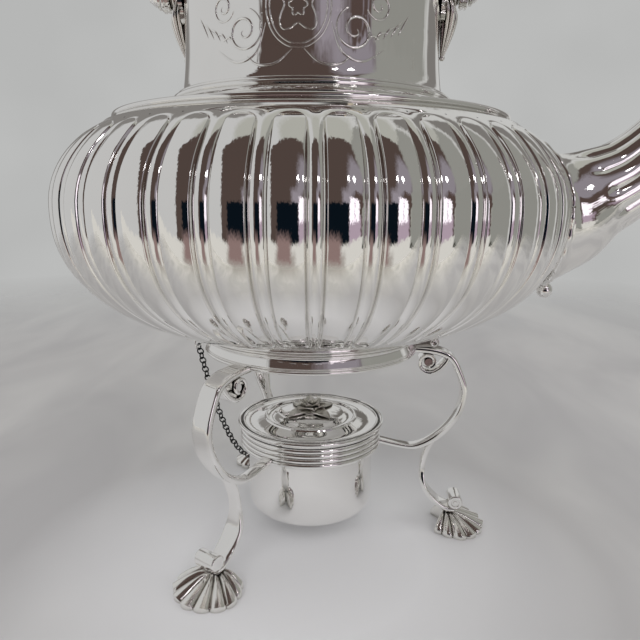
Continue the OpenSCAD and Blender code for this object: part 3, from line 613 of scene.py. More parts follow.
def repeat_links(name, count, link_r, wire_r):
    """Round links along a line of edges, each turned a quarter from the last."""
    tool = Repeat(name)
    n = tool.n
    number = tool.named("Links", count, "NodeSocketInt")
    radius = tool.named("Link radius", link_r * MM)
    wire = tool.named("Wire radius", wire_r * MM)
    line = n.add("GeometryNodeMeshToCurve", {"Mesh": tool.start})
    line = n.add("GeometryNodeResampleCurve", {"Curve": line, "Count": number})
    ring = n.add("GeometryNodeCurvePrimitiveCircle", {"Resolution": 24, "Radius": radius})
    section = n.add("GeometryNodeCurvePrimitiveCircle", {"Resolution": 10, "Radius": wire})
    link = n.add("GeometryNodeCurveToMesh", {"Curve": ring, "Profile Curve": section})
    lay = n.add("GeometryNodeTransform", {"Geometry": link, "Rotation": (TAU / 4, 0, 0)})
    tangent = n.add("GeometryNodeInputTangent")
    along = n.add("FunctionNodeAlignRotationToVector", {"Vector": tangent}, axis="Z")
    odd = n.math("MODULO", n.add("GeometryNodeInputIndex"), 2.0)
    angle = n.math("MULTIPLY", odd, TAU / 4)
    quarter = n.add("FunctionNodeAxisAngleToRotation", {"Axis": (0, 0, 1), "Angle": angle})
    turn = n.add("FunctionNodeRotateRotation", {0: along, 1: quarter}, rotation_space="LOCAL")
    return tool.finish(line, lay, turn)


# Sizes shared with the solids
BODY_R, CROWN_R = 100, 58
FOOT_RIM_R = 46.6
SEAT_Z, BODY_Z, WIDE_Z = 88, 90.8, 140.8
LOW_H, HIGH_H = 50, 35
LOW_BEND, LOW_POWER = 2.5, 0.72
SHOULDER_R = 80
LOBES = 40


def low_radius(t):
    return FOOT_RIM_R + (BODY_R - FOOT_RIM_R) * (1 - min(1, t) ** LOW_BEND) ** LOW_POWER


def body_radius(z):
    if z > WIDE_Z:
        return CROWN_R + (BODY_R - CROWN_R) * sqrt(max(0, 1 - ((z - WIDE_Z) / HIGH_H) ** 2))
    return low_radius((WIDE_Z - z) / LOW_H)


SHOULDER_Z = WIDE_Z + HIGH_H * sqrt(1 - ((SHOULDER_R - CROWN_R) / (BODY_R - CROWN_R)) ** 2)


# Kettle body: one lobe with half a reed on each side, then forty of them
def body_outline(steps=160):
    """The body's outer line from the shoulder down to the foot rim."""
    high_end = acos((SHOULDER_R - CROWN_R) / (BODY_R - CROWN_R))
    line = [(CROWN_R + (BODY_R - CROWN_R) * cos(a), WIDE_Z + HIGH_H * sin(a))
            for a in (mix(high_end, 0, k) for k in shares(steps)[:-1])]
    line += [(low_radius(sin(a)), WIDE_Z - LOW_H * sin(a))
             for a in (mix(0, TAU / 4, k) for k in shares(steps))]
    return line


OUTLINE = body_outline()
RUN = [0]
for first, second in zip(OUTLINE, OUTLINE[1:]):
    RUN.append(RUN[-1] + dist(first, second))


def on_outline(v):
    """Radius, height and outward direction at a distance v down the outline."""
    v = min(max(v, 0), RUN[-1] - 0.001)
    low = sum(run <= v for run in RUN) - 1
    high = low + 1
    t = (v - RUN[low]) / (RUN[high] - RUN[low])

    def slope(k):
        a, b = OUTLINE[max(k - 2, 0)], OUTLINE[min(k + 2, len(OUTLINE) - 1)]
        d = dist(a, b)
        return ((a[1] - b[1]) / d, (b[0] - a[0]) / d)
    return *mix_points(OUTLINE[low], OUTLINE[high], t), mix_points(slope(low), slope(high), t)


LOBE_TOP, LOBE_LOW = 4.6, RUN[-1] - 23
LOBE_SHARE = 0.335
LOBE_TURN = 1.5
CROWN_SHARE = 0.44
EDGE_START = 0.9
REED_ARC = radians(55)
REED_RISE = 1.15
BORDER_RISE = 0.25
FLAT_LEVEL = -0.55
GROOVE_LEVEL = -2.05
TOP_ROUND, LOW_ROUND = 4.4, 2.6
TOP_MARGIN, LOW_MARGIN = LOBE_TOP - 1.4, LOBE_LOW + 1.6
LINING_DEPTH, LINING_WALL = 2.9, 0.4
HALF_ROUND, SIDES = 12, 32
CORNER_SHARE = 0.375
EDGE_SPEED = 1.6
INNER_SHARES = [0, 0.28, 0.53, 0.73, 0.84, 0.885, 0.905, 0.93, 0.96, 0.98, 1]
OUTER_SHARES = [0.03, 0.08, 0.16, 0.26, 0.38, 0.5, 0.62, 0.74, 0.87, 1]


def place(u, v, h):
    """A point u of a pitch across, v down the outline and h off it."""
    r, z, out = on_outline(v)
    return (*polar(r + h * out[0], TAU * u / LOBES + radians(LOBE_TURN)), z + h * out[1])


def side_level(v):
    """Depth of the groove beside a lobe: deep along its sides and shallow at its two ends."""
    top = smooth((v - LOBE_TOP) / 14)
    low = smooth((LOBE_LOW + 3 - v) / 16)
    return mix(FLAT_LEVEL, GROOVE_LEVEL, top * low)


def lobe_height(t, v):
    """t runs from the lobe's middle (0) to its edge (1)."""
    edge = smooth((t - EDGE_START) / (1 - EDGE_START))
    return side_level(v) * (CROWN_SHARE * t * t + (1 - CROWN_SHARE) * edge)


def beside(q):
    """The round section of the reed, from the groove (0) to its crown (1)."""
    s = (1 - q) * sin(REED_ARC)
    return (sqrt(1 - s * s) - cos(REED_ARC)) / (1 - cos(REED_ARC))


def reed_height(q, v):
    """q runs from the lobe's edge (0) over the thin border to the middle of the reed (1)."""
    level = side_level(v)
    rise = REED_RISE * (level - FLAT_LEVEL) / (GROOVE_LEVEL - FLAT_LEVEL) + BORDER_RISE
    return level + rise * beside(q)


def spoke(spine, edge, border, out=1):
    """Points from the lobe's spine over its edge to the cell's border."""
    line = []
    for t in INNER_SHARES:
        u, v = mix_points(spine, edge, t)
        line.append(place(u, v, lobe_height(t, v)))
    for q in OUTER_SHARES:
        u, v = mix_points(edge, border, q)
        line.append(place(u, v, mix(FLAT_LEVEL + BORDER_RISE * beside(q), reed_height(q, v), out)))
    return line


def end_spoke(share, level, bulge, margin):
    """A spoke in the lobe's round end, from its side (0) to its tip (1)."""
    a = TAU / 4 * share
    edge = (LOBE_SHARE * cos(a), level + bulge * sin(a))
    border = (0.5, mix(level, margin, share / CORNER_SHARE))
    if share > CORNER_SHARE:
        border = (0.5 * min(1, EDGE_SPEED * (1 - share)), margin)
    return spoke((0, level), edge, border, 1 - smooth(share * 1.4))


def lobe_cell():
    """One lobe from border to border, with the plain strips over and under it."""
    top_v, low_v = LOBE_TOP + TOP_ROUND, LOBE_LOW - LOW_ROUND
    rows = [end_spoke(1 - k, top_v, -TOP_ROUND, TOP_MARGIN) for k in shares(HALF_ROUND)[:-1]]
    for v in (mix(top_v, low_v, k) for k in shares(SIDES)):
        rows.append(spoke((0, v), (LOBE_SHARE, v), (0.5, v)))
    rows += [end_spoke(k, low_v, LOW_ROUND, LOW_MARGIN) for k in shares(HALF_ROUND)[1:]]
    half = grid(rows, around=False)
    other = about_z(half, -LOBE_TURN)[0]
    other = about_z(([(x, -y, z) for x, y, z in other], half[1]), LOBE_TURN)
    across = sorted({round(side * 0.5 * min(1, EDGE_SPEED * i / HALF_ROUND), 6)
                     for side in (1, -1) for i in range(HALF_ROUND)})
    top_strip = [(TOP_MARGIN, FLAT_LEVEL + BORDER_RISE), (TOP_MARGIN * 0.6, FLAT_LEVEL * 0.55),
                 (TOP_MARGIN * 0.3, FLAT_LEVEL * 0.3), (0, 0)]
    low_strip = [(LOW_MARGIN, FLAT_LEVEL + BORDER_RISE)]
    low_strip += [(mix(LOW_MARGIN, RUN[-1], k), 0.3 * FLAT_LEVEL * (1 - k)) for k in shares(6)[1:]]
    strips = [grid([[place(u, v, h) for u in across] for v, h in strip], around=False)
              for strip in (top_strip, low_strip)]
    return joined(half, other, *strips)


def add_body():
    lobes = repeat_round("body_lobes", LOBES)
    lobes.piece("kettle_body_lobes", lobe_cell(), BODY_SILVER, "kettle", "kettle_body", sharp=50)
    outer = [(r - LINING_DEPTH, z) for r, z in OUTLINE[6:-3:3]]
    inner = [(r - LINING_WALL, z) for r, z in outer]
    add_piece("kettle_body_lining", turned(outer + inner[::-1], 96), SILVER, "kettle", "kettle_body")


add_body()


# Foot rim, shoulder, neck and rim
NECK_R, NECK_WALL = 49, 1.4
RIB_Z, RIB_H = SHOULDER_Z + 1.6, 2.4
NECK_FOOT_Z = RIB_Z + RIB_H + 8
NECK_TOP = NECK_FOOT_Z + 52
NECK_FLARE = [(51.3, 0), (50.4, 2.4), (49.75, 7), (49.25, 13), (NECK_R, 20)]
RIM_H = 2.4


def add_foot_rim():
    beads = []
    pitch_z = (BODY_Z - SEAT_Z) / 3
    for k in range(3):
        beads += arc(FOOT_RIM_R - 0.1, SEAT_Z + pitch_z * (k + 0.5), pitch_z * 0.47, -80, 80, 8)
    rim = [(FOOT_RIM_R - 1.6, SEAT_Z)] + beads + [(FOOT_RIM_R - 1.6, BODY_Z)]
    add_turned("kettle_foot_rim", rim, "kettle", 192, sharp=60)


def add_shoulder():
    outer = spline(off(0, SHOULDER_Z, (SHOULDER_R + 0.15, -0.1), (78.6, 0.35), (77.2, 0.9), (76.4, 1.9)), 5)
    outer += arc(75.9, 173.3, 1.0, -30, 115, 14)
    outer += [(74.9, 173.95)] + arc(74.0, 174.0, 0.55, -10, 150, 8) + [(73.0, 173.9)]
    outer += spline([(71.6, 174.5), (66, 175.5), (61, 176.3), (57, 177.6), (54.6, 179.4)], 6)
    outer += arc(53.6, 180.7, 0.9, -50, 110, 8) + arc(52.2, 182.1, 0.7, -50, 120, 8)
    inner = [(50.2, NECK_FOOT_Z), (52.8, 178.4), (60, 175.0), (70, 173.2), (75, 171.4),
             (SHOULDER_R - 1.2, SHOULDER_Z)]
    add_turned("kettle_shoulder", outer + inner, "kettle")


def add_neck():
    outer = spline(off(0, NECK_FOOT_Z, *NECK_FLARE), 8)
    outer += [(NECK_R, NECK_FOOT_Z + 34), (NECK_R, NECK_TOP - RIM_H)]
    inner = [(r - NECK_WALL, z) for r, z in reversed(outer)]
    add_turned("kettle_neck", outer + inner, "kettle")
    rim = off(NECK_R, NECK_TOP, (-NECK_WALL, -RIM_H), (0.2, -RIM_H))
    rim += arc(NECK_R + 0.3, NECK_TOP - RIM_H / 2, RIM_H / 2, -90, 90, 14)
    rim += off(NECK_R, NECK_TOP, (0.2, 0), (-NECK_WALL, 0))
    add_turned("neck_rim", rim, "kettle")


add_foot_rim()
add_shoulder()
add_neck()


# Ornament on the neck: thin raised scrolls round an oval wreath, laid on its surface
WREATH_TURN = radians(-90)
WREATH_Z = 204.5
LINE_R = 0.3
# Loops of the wreath: half width, half height, petals and their dent
LOOPS = [(10.5, 13), (9.3, 11.8), (7.6, 9.6, 4, 0.42), (3.0, 3.6, 6, 0.3)]
# Scrolls beside the wreath: across, up, size, turns, start in degrees
SCROLLS = [(18.5, -7, 6.4, 1.7, 110), (17, 7.5, 5.2, -1.6, 200), (27, 1, 4.2, 1.5, 200)]
STROKES = [[(10.6, -5), (14, -14), (21, -16.5), (29, -12)], [(10.6, 6), (13, 13.5), (20, 15), (27, 10)],
           [(2, -13.4), (7, -17.5), (13, -17.8), (17, -15)], [(1, 13.4), (5, 17.5), (10, 18.5), (15, 16)]]
STROKES += [[(x, -11 + k), (x + 2.4, -8.4 + 1.2 * k), (x + 5.2, -9.4 + 2.4 * k)]
            for k, x in ((k, 22 + 3.2 * k) for k in range(5))]


def on_neck(across, z):
    """A point on the neck, a distance across from the middle of the ornament."""
    radius = lookup([(NECK_FOOT_Z + h, r) for r, h in NECK_FLARE], z) - 0.08
    return (*polar(radius, WREATH_TURN + across / NECK_R), z)


def loop_line(wide, high, petals=0, dent=0.0, steps=120):
    line = []
    for a in turns(steps):
        k = 1 - dent * (0.5 + 0.5 * cos(petals * a))
        line.append(on_neck(wide * k * sin(a), WREATH_Z + high * k * cos(a)))
    return tube(line, [LINE_R] * steps, 8, closed=True)


def scroll_line(side, x, z, big, winds, start, steps=90):
    """A scroll that winds in from its outer end; start is the direction of that end in degrees."""
    line, width = [], []
    for t in shares(steps):
        a = radians(start) + TAU * winds * t
        r = big * (1 - t) ** 0.8 + 0.5
        line.append(on_neck(side * (x + r * cos(a)), WREATH_Z + z + r * sin(a)))
        width.append(LINE_R * (0.5 + 1.1 * sin(pi * min(1, t * 0.9 + 0.08))))
    return tube(line, width, 8)


def stroke(side, points):
    """A tapering stroke through points across and up from the middle of the ornament."""
    line = spline([(side * x, WREATH_Z + z) for x, z in points], 12)
    last = len(line) - 1
    return tube([on_neck(x, z) for x, z in line],
                [LINE_R * (0.35 + 1.1 * sin(pi * i / last)) for i in range(last + 1)], 8)


def add_ornament():
    lines = [loop_line(*loop) for loop in LOOPS]
    for side in (-1, 1):
        lines += [scroll_line(side, *scroll) for scroll in SCROLLS]
        lines += [stroke(side, points) for points in STROKES]
    add_piece("neck_ornament", joined(*lines), SILVER, "kettle", "kettle_neck", sharp=60)


add_ornament()


# Handle: brackets on the neck, pivots, arms, ferrules and grip
PIVOT_Z = NECK_FOOT_Z + 38
BRACKET_X = NECK_R + 6.5
ARM_X = BRACKET_X + 2
ARM_END = (35.3, PIVOT_Z + 108)
ARM_KEYS = [(0, 0.036), (-0.17, 0.133), (-0.33, 0.286), (-0.32, 0.495), (-0.06, 0.686), (0.36, 0.857),
            (0.68, 0.948), (1, 1)]
GRIP_LEN, GRIP_R, FERRULE_R = 66, 8, 6.2
GRIP_TURN = 2 * atan(2 * 7 / GRIP_LEN)
GRIP_BEND = GRIP_LEN / 2 / sin(GRIP_TURN)


def turned_x(profile, steps=64):
    """The closed profile (radius, distance along X) turned round the X axis."""
    return moved(turned(profile, steps), TO_X)


def fan_shape(toe, high, rim, flutes, spread, depth, dome):
    """A fluted fan that spreads from its hinge, flat underneath."""
    spans = [(0, 1), (60, 0.94), (90, 0.74), (112, 0.62), (180, 0.6)]
    hub = 1.6
    n = flutes * 14
    rings = []
    for j in range(n + 1):
        a = mix(-spread, spread, j / n)
        r = toe * lookup(spans, abs(a))
        wave = depth * (abs(sin(pi * flutes * j / n)) ** 0.7 - 0.6)
        bulge = dome * smooth(abs(a) / 90)
        line = [(hub, 0)]
        for s in shares(14):
            top = mix((1 - s) ** 1.25, 1 - s ** 2.4, mix(0.3, 1, bulge) if dome else 0)
            rise = mix(rim, high, top) + wave * smooth(s * 2.5)
            line.append((mix(hub, r + wave * s * 0.8, s), max(0.3, rise)))
        line.append((r + wave * 0.8, 0))
        rings.append([(*polar(p, radians(a)), q) for p, q in line])
    return grid(rings, caps=True)


def husk():
    """A ribbed leaf that hangs under the pivot and ends in a point."""
    spine = spline([(51.0, PIVOT_Z - 2, 3.0, 7.6), (52.2, PIVOT_Z - 6.5, 3.6, 8.2),
                    (52.1, PIVOT_Z - 11.5, 3.0, 6.4), (51.3, PIVOT_Z - 17, 1.9, 3.8),
                    (50.6, PIVOT_Z - 21, 1.0, 1.7), (50.3, PIVOT_Z - 23.4, 0.3, 0.3)], 8)
    rings = []
    for x, z, deep, wide in spine:
        ring = []
        for a in turns(96):
            k = 1 - 0.2 * (1 - abs(sin(4 * a)) ** 0.7)
            ring.append((x + deep * k * cos(a), wide * k * sin(a), z - 0.5 * deep * cos(a)))
        rings.append(ring)
    bead = ball((50.6, 0, PIVOT_Z - 22.6), 1.1, 24)
    return joined(grid(rings, caps=True), bead)


def bracket_shape():
    fan = raised(moved(fan_shape(14, 4.4, 1.4, 9, 150, 0.9, 0), TO_X), NECK_R - 0.4, 0, PIVOT_Z + 2)
    boss = off(0, NECK_R, (0, -0.8), (4.4, -0.8), (4.4, 3.4), (4.0, 3.8), (4.0, 4.4))
    boss += arc(3.7, NECK_R + 5.3, 0.7, -60, 80, 8) + [(3.6, BRACKET_X), (0, BRACKET_X)]
    return joined(fan, raised(turned_x(boss), z=PIVOT_Z), husk())


def pivot_shape():
    head = ARM_X + 2
    profile = [(0, NECK_R + 1.7), (1.95, NECK_R + 1.7)]
    profile += off(0, head, (1.95, 0), (3.6, 0), (4.0, 0.35), (4.0, 1.2), (3.7, 1.5), (3.2, 1.6))
    profile += arc(0, head + 1.5, 3.0, 5, 55, 10) + arc(0, head + 4.3, 1.2, 10, 90, 8)
    return raised(turned_x(profile), z=PIVOT_Z)


def arm_shape():
    line = spline([(mix(ARM_X, ARM_END[0], a), mix(PIVOT_Z, ARM_END[1], b)) for a, b in ARM_KEYS], 16)
    sections = []
    for k in shares(len(line) - 1):
        r = mix(1.7, 4, smooth(min(k, 1 - k * 0.55) * 2.6))
        for at in (0.12, 0.16, 0.9, 0.94):
            r += 0.5 * max(0, 1 - abs(k - at) / 0.014)
        sections.append([(x, y * 1.05) for x, y in disc(r, 32)])
    eye = off(0, ARM_X, (2.05, -1.7), (4.7, -1.7), (5.2, -1.2), (5.2, -0.5), (4.9, -0.2), (4.9, 0.2),
              (5.2, 0.5), (5.2, 1.2), (4.7, 1.7), (2.05, 1.7))
    return joined(carried(line, sections), raised(turned_x(eye), z=PIVOT_Z))


def ferrule_shape():
    profile = off(FERRULE_R, 0, (-0.5, 0.2), (0, 0.7), (-0.3, 1.5), (-0.3, 2.3), (0, 3.1), (-0.5, 3.8))
    profile = [(0, 0.2)] + profile + [(0, 3.8)]
    lean = Matrix.Rotation(TAU / 4 + GRIP_TURN, 4, "Y")
    return raised(moved(turned(profile, 64), lean), GRIP_LEN / 2, 0, PIVOT_Z + 109)


def grip_shape():
    path, sections = [], []
    for s in shares(120):
        k = 2 * s - 1
        a = mix(-GRIP_TURN, GRIP_TURN, s)
        path.append((GRIP_BEND * sin(a), PIVOT_Z + 116 - GRIP_BEND + GRIP_BEND * cos(a)))
        r = mix(GRIP_R, FERRULE_R - 0.6, abs(k) ** 3)
        for at in (0.78, 0.84):
            r -= 0.35 * max(0, 1 - abs(abs(k) - at) / 0.02)
        sections.append(disc(r, 48))
    return carried(path, sections)


def add_handle():
    shapes = [("bracket", "leaf", bracket_shape(), CAST_SILVER, "kettle", 50),
              ("pivot", "turned", pivot_shape(), SILVER, "kettle", 40),
              ("arm", "rod", arm_shape(), SILVER, "handle", 40),
              ("ferrule", "turned", ferrule_shape(), IVORY, "handle", 40)]
    for side, name in ((1, "spout"), (-1, "back")):
        for part, end, shape, material, body, sharp in shapes:
            node = "handle_%s_%s" % (part, name)
            shape = shape if side > 0 else mirrored_x(shape)
            add_piece("%s_%s" % (node, end), shape, material, body, node, sharp=sharp)
    add_piece("handle_grip_turned", grip_shape(), WOOD, "handle", "handle_grip", sharp=60)


add_handle()


# Lid with its bezel and finial
LID_SEAT = NECK_TOP + 0.2
LID_TOP = LID_SEAT + 22
DOME_R, BOSS_R = NECK_R - 2, 5
FINIAL_Z = LID_TOP + 3.6


def add_lid():
    dome = []
    for k in shares(60):
        flat, rise = oval(1, 20, TAU / 4 * k)
        dome.append((mix(BOSS_R, DOME_R, flat), LID_SEAT + 2 + rise * mix(0.82, 1, k)))
    edge = [(45.8, LID_SEAT), (NECK_R + 1.0, LID_SEAT)] + arc(NECK_R + 1.0, LID_SEAT + 1.1, 1.1, -90, 100, 12)
    edge += arc(48.2, LID_SEAT + 2.3, 0.6, -10, 160, 8)
    under = [(r if r <= BOSS_R + 1 else r - 0.6, z - 1) for r, z in reversed(dome[1:])]
    dome += [(1.5, LID_TOP), (1.5, LID_TOP - 1)]
    add_turned("lid_dome", edge + dome + under, "lid", sharp=50)
    bezel = off(0, LID_SEAT, (46.3, -6), (46.9, -6), (47.2, -5.6), (47.2, 0), (46.3, 0))
    add_turned("lid_bezel", bezel, "lid", 224)
    base = off(0, LID_TOP, (1.5, 0), (7.4, 0), (7.6, 0.4), (7.2, 0.9))
    base += spline(off(0, LID_TOP, (5.6, 1.0), (4.3, 1.5), (3.7, 2.3), (4.4, 3.1)), 5)
    add_turned("finial_base", base + [(5, FINIAL_Z), (1.5, FINIAL_Z)], "lid", 96)
    foot = FINIAL_Z + 2.2
    ring = [(1.5, FINIAL_Z), (5.8, FINIAL_Z)] + arc(5.5, FINIAL_Z + 1.1, 0.7, -70, 70, 8)
    add_turned("finial_insulator", ring + [(5.8, foot), (1.5, foot)], "lid", 96, IVORY)
    knob = off(0, foot, (0, 0), (5, 0), (4.9, 0.6), (3.6, 1.6), (3.3, 2.9))
    knob += off(0, foot + 13.44, *(oval(8.5, 10.56, radians(a)) for a in range(-62, 61, 4)))
    knob += off(0, foot, (3.6, 22.7), (3.2, 22.9), (2.9, 23.4), (1.6, 23.9), (0, 24))
    add_turned("finial_knob", knob, "lid", 96, WOOD, 50)


add_lid()


# Spout
SPOUT_ROOT_Z, SPOUT_MOUTH_Z = WIDE_Z - 0.8, WIDE_Z + 90
SPOUT_REACH = 180
SPOUT_LIFT, HEEL_LIFT = 2, 6
SPOUT_WALL = 1.2
SPOUT_FLUTES = 12
SPOUT_KEYS = [(-0.12, -0.01, 29, 20), (0.025, 0.012, 24.1, 18.8), (0.156, 0.071, 19, 16),
              (0.3125, 0.151, 16, 13.6), (0.4625, 0.29, 13, 11.6), (0.594, 0.464, 10.9, 10.1),
              (0.7125, 0.672, 9.7, 9.3), (0.8375, 0.87, 9, 8.8), (1, 1, 8.6, 8.6)]
SPOUT_STEPS = 10


def off_body(y, z, lift):
    return (sqrt((body_radius(z) + lift) ** 2 - y * y), y, z)


def heel(drop):
    return HEEL_LIFT * max(0, drop / SPOUT_KEYS[0][2]) ** 3


def spout_rings(wall):
    """Rings of the spout from its root on the body to the mouth."""
    keys = [(mix(BODY_R, SPOUT_REACH, a), mix(SPOUT_ROOT_Z, SPOUT_MOUTH_Z, b), h, w)
            for a, b, h, w in SPOUT_KEYS]
    line = spline(keys, SPOUT_STEPS)
    n = SPOUT_FLUTES * 14
    root = []
    for a in turns(n):
        across, y = oval(keys[0][2] - wall, keys[0][3] - wall, a)
        root.append(off_body(y, SPOUT_ROOT_Z - across, SPOUT_LIFT + heel(across)))
    rings = []
    for i in range(SPOUT_STEPS, len(line)):
        x, z, high, wide = line[i]
        t = heading([p[:2] for p in line], i)
        k = i / SPOUT_STEPS
        ring = []
        for a in turns(n):
            start_k = 1.75 + 0.35 * (0.5 + 0.5 * cos(a))
            flute = abs(sin(SPOUT_FLUTES * a / 2)) ** 0.8
            f = 1 - 0.085 * smooth((k - start_k) / 0.45) * (1 - flute)
            across, y = oval(high * f - wall, wide * f - wall, a)
            ring.append((x + across * t[1], y, z - across * t[0]))
        rings.append(ring)
    join = [[mix_points(a, b, s) for a, b in zip(root, rings[0])] for s in (0, 0.35, 0.7)]
    sunk = [off_body(p[1], p[2], -1.2) for p in root]
    return [sunk] + join + rings


def add_spout():
    outer, inner = spout_rings(0), spout_rings(SPOUT_WALL)
    lip = [mix_points(a, b, 0.5) for a, b in zip(outer[-1], inner[-1])]
    toward = (Vector(outer[-1][0]) - Vector(outer[-3][0])).normalized() * 0.35
    lip = [tuple(Vector(p) + toward) for p in lip]
    shell = grid(outer + [lip] + inner[::-1], along=True)
    add_piece("spout_shell", shell, SILVER, "kettle", "spout", sharp=50)
    n = 240
    bead = []
    for a in turns(n):
        drop, y = oval(29.3, 20.2, a)
        bead.append(off_body(y, SPOUT_ROOT_Z - drop, SPOUT_LIFT * 0.5 + heel(drop) * 0.9))
    knurl = [1.2 + 0.22 * sin(TAU * 24 * j / n) for j in range(n)]
    collar = tube(bead, knurl, 14, closed=True)
    add_piece("spout_collar_bead", collar, SILVER, "kettle", "spout_collar", sharp=60)
    drop_shape = joined(ball((96.75, 0, 107.8), 3.2), ball((97.0, 0, 111.0), 1.8, 24))
    add_piece("spout_drop_ball", drop_shape, SILVER, "kettle", "spout_drop", sharp=60)


add_spout()


# Stand ring
RING_R, RING_WALL, RING_H = 44.6, 2.6, 6.5
RING_TOP = SEAT_Z - 0.2
RING_Z = RING_TOP - RING_H


def add_ring():
    outer = off(RING_R, RING_Z, (-RING_WALL, 0), (-0.3, 0))
    outer += arc(RING_R - 0.2, RING_Z + 0.75, 0.75, -90, 70, 12)
    outer += arc(RING_R - 0.15, RING_Z + 1.75, 0.4, -60, 70, 8)
    band = off(RING_R, RING_Z, (0.05, 2.3), (-1.15, 5.4))
    outer += [mix_points(*band, k) for k in (0, 0.03, 0.08, 0.92, 0.97, 1)]
    outer += arc(RING_R - 0.5, RING_TOP - 0.5, 0.5, -80, 90, 8)
    outer += [(RING_R - RING_WALL, RING_TOP)]
    add_turned("stand_ring", outer, "stand", sharp=50)


add_ring()


# Lugs of the ring, with the hinge pin's heads
LUG_X, LUG_Z, LUG_R = RING_R + 7.7, SEAT_Z - 2.7, 2.2
BORE_R, PIN_R = 1.18, 1
CHEEK_IN, CHEEK_OUT = 2.2, 4.4


def cheek(y, thick=2.2, soft=0.35):
    """A rounded plate with a bore for the pin, which stands out from the ring."""
    angles = [radians(a) for a in range(-90, 270, 10)]

    def edge(offset, inset):
        r = LUG_R - inset
        line = []
        for a in angles:
            x, z = polar(1, a)
            back = (LUG_X - RING_R + 0.4) * min(1, 1.5 * max(0, -x))
            line.append((LUG_X - back if x < -0.01 else LUG_X + r * x, y + offset,
                         LUG_Z + r * (min(1, max(-1, 1.6 * z)) if x < -0.01 else z)))
        return line

    def hole(offset):
        return [(x, y + offset, z) for x, z in off(LUG_X, LUG_Z, *(polar(BORE_R, a) for a in angles))]
    rings = [edge(0, soft), edge(soft * 0.3, soft * 0.3), edge(soft, 0), edge(thick - soft, 0),
             edge(thick - soft * 0.3, soft * 0.3), edge(thick, soft), hole(thick), hole(0)]
    return grid(rings, along=True)


def pin_head(y, way):
    profile = [(0, 0), (1.7, 0), (1.7, 0.55), (1.5, 0.85), (1.15, 1.0), (1.0, 0.7), (0.7, 0.75), (0.5, 0.98),
               (0, 1.0)]
    return raised(moved(turned(profile, 40), TO_Y if way > 0 else TO_MINUS_Y), LUG_X, y, LUG_Z)


def add_lugs():
    plates = joined(cheek(CHEEK_IN), cheek(-CHEEK_OUT))
    add_piece("stand_hinge_cheeks", plates, DARK_SILVER, "stand", "stand_hinge_lug")
    bar = [(0, -CHEEK_OUT), (PIN_R, -CHEEK_OUT), (PIN_R, CHEEK_OUT), (0, CHEEK_OUT)]
    bar = raised(moved(turned(bar, 32), TO_Y), LUG_X, 0, LUG_Z)
    pin = joined(bar, pin_head(CHEEK_OUT, 1), pin_head(-CHEEK_OUT, -1))
    add_piece("hinge_pin_turned", pin, SILVER, "stand", "hinge_pin")
    add_piece("stand_latch_cheeks", mirrored_x(plates), SILVER, "stand", "stand_latch_lug")


add_lugs()


# Legs, branches and feet
KNEE_R, FOOT_R = 66, 61.5
LEG_W, LEG_T = 8.6, 3.0
ARM_W, ARM_THIN = 5.2, 0.68
ARM_Z = 38.8
TURNS = {"spout": 0, "front": -120, "rear": 120}


def strap(w, t):
    """Section of a strap: nearly flat outside and inside, with soft edges."""
    outer = [(t * (0.5 - 0.14 * (y / 6) ** 2), w * 0.42 * y / 6) for y in range(-6, 7)]
    edge = [(t * a, w * b) for a, b in ((0.28, 0.465), (0.16, 0.49), (0, 0.5), (-0.25, 0.5), (-0.42, 0.47))]
    inner = [(-t * 0.5, w * 0.42 * y / 3) for y in range(3, -4, -1)]
    return outer + edge + inner + [(x, -y) for x, y in reversed(edge)]


KNEE_Z = (RING_Z + ARM_Z) / 2 + 1
SCROLL_PATH = off(RING_R, RING_Z, (-0.6, 0.4), (5.5, 0), (11, -1), (15.6, -3.4))
SCROLL_PATH += off(KNEE_R, RING_Z, (-3, -8.2), (-0.4, -15))
SCROLL_PATH += off(KNEE_R, KNEE_Z, (0, 0), (-2, -7.4), (-6.8, -15))
SCROLL_PATH += off(KNEE_R, ARM_Z, (-13.4, 1.4), (-20, -1.4), (-27, -1)) + [(30.6, ARM_Z + 0.8)]
VOLUTE = (RING_R + 6.0, RING_Z - 5.1)
VOLUTE_SPANS = [(0, 8.4), (30, 6.0), (60, 4.8), (110, 4.2), (200, 3.6), (290, 3.0), (380, 2.2), (450, 1.6)]
VOLUTE_START = 20
VOLUTE_STEPS, VOLUTE_STEP = 90, 5
BRANCH_X = KNEE_R - 13.8
BRANCH_PATH = off(BRANCH_X, ARM_Z, (4.6, 5.0), (2.4, 2.8), (0.3, -0.6), (-1.4, -5.4), (-2.4, -12))
BRANCH_PATH += off(BRANCH_X, 0, (-1.9, 20.5), (0.6, 15.6), (4.6, 11.4))
BRANCH_PATH += off(FOOT_R, 0, (-0.6, 8.8), (3, 8.4))


def leg_shape():
    line = spline(SCROLL_PATH, 8)
    sections = []
    for k in shares(len(line) - 1):
        thin = smooth((k - 0.78) / 0.08)
        sections.append(strap(mix(LEG_W, ARM_W, smooth((k - 0.58) / 0.14)), LEG_T * mix(1, ARM_THIN, thin)))
    curl, curls = [], []
    for i in range(VOLUTE_STEPS + 1):
        a = VOLUTE_STEP * i
        curl += off(*VOLUTE, polar(lookup(VOLUTE_SPANS, a), radians(VOLUTE_START - a)))
        curls.append(strap(LEG_W * mix(0.96, 1.12, i / VOLUTE_STEPS), mix(2.4, 1.7, smooth(i / 30))))
    eye = [(0, -0.4), (1.7, -0.4), (2.0, -0.3), (2.0, 0.3), (1.7, 0.4), (0, 0.4)]
    eye = turned([(r, LEG_W * k) for r, k in eye], 32)
    eye = moved(eye, Matrix.Translation((VOLUTE[0], 0, VOLUTE[1])) @ TO_MINUS_Y)
    return joined(carried(line, sections), carried(curl, curls), eye)


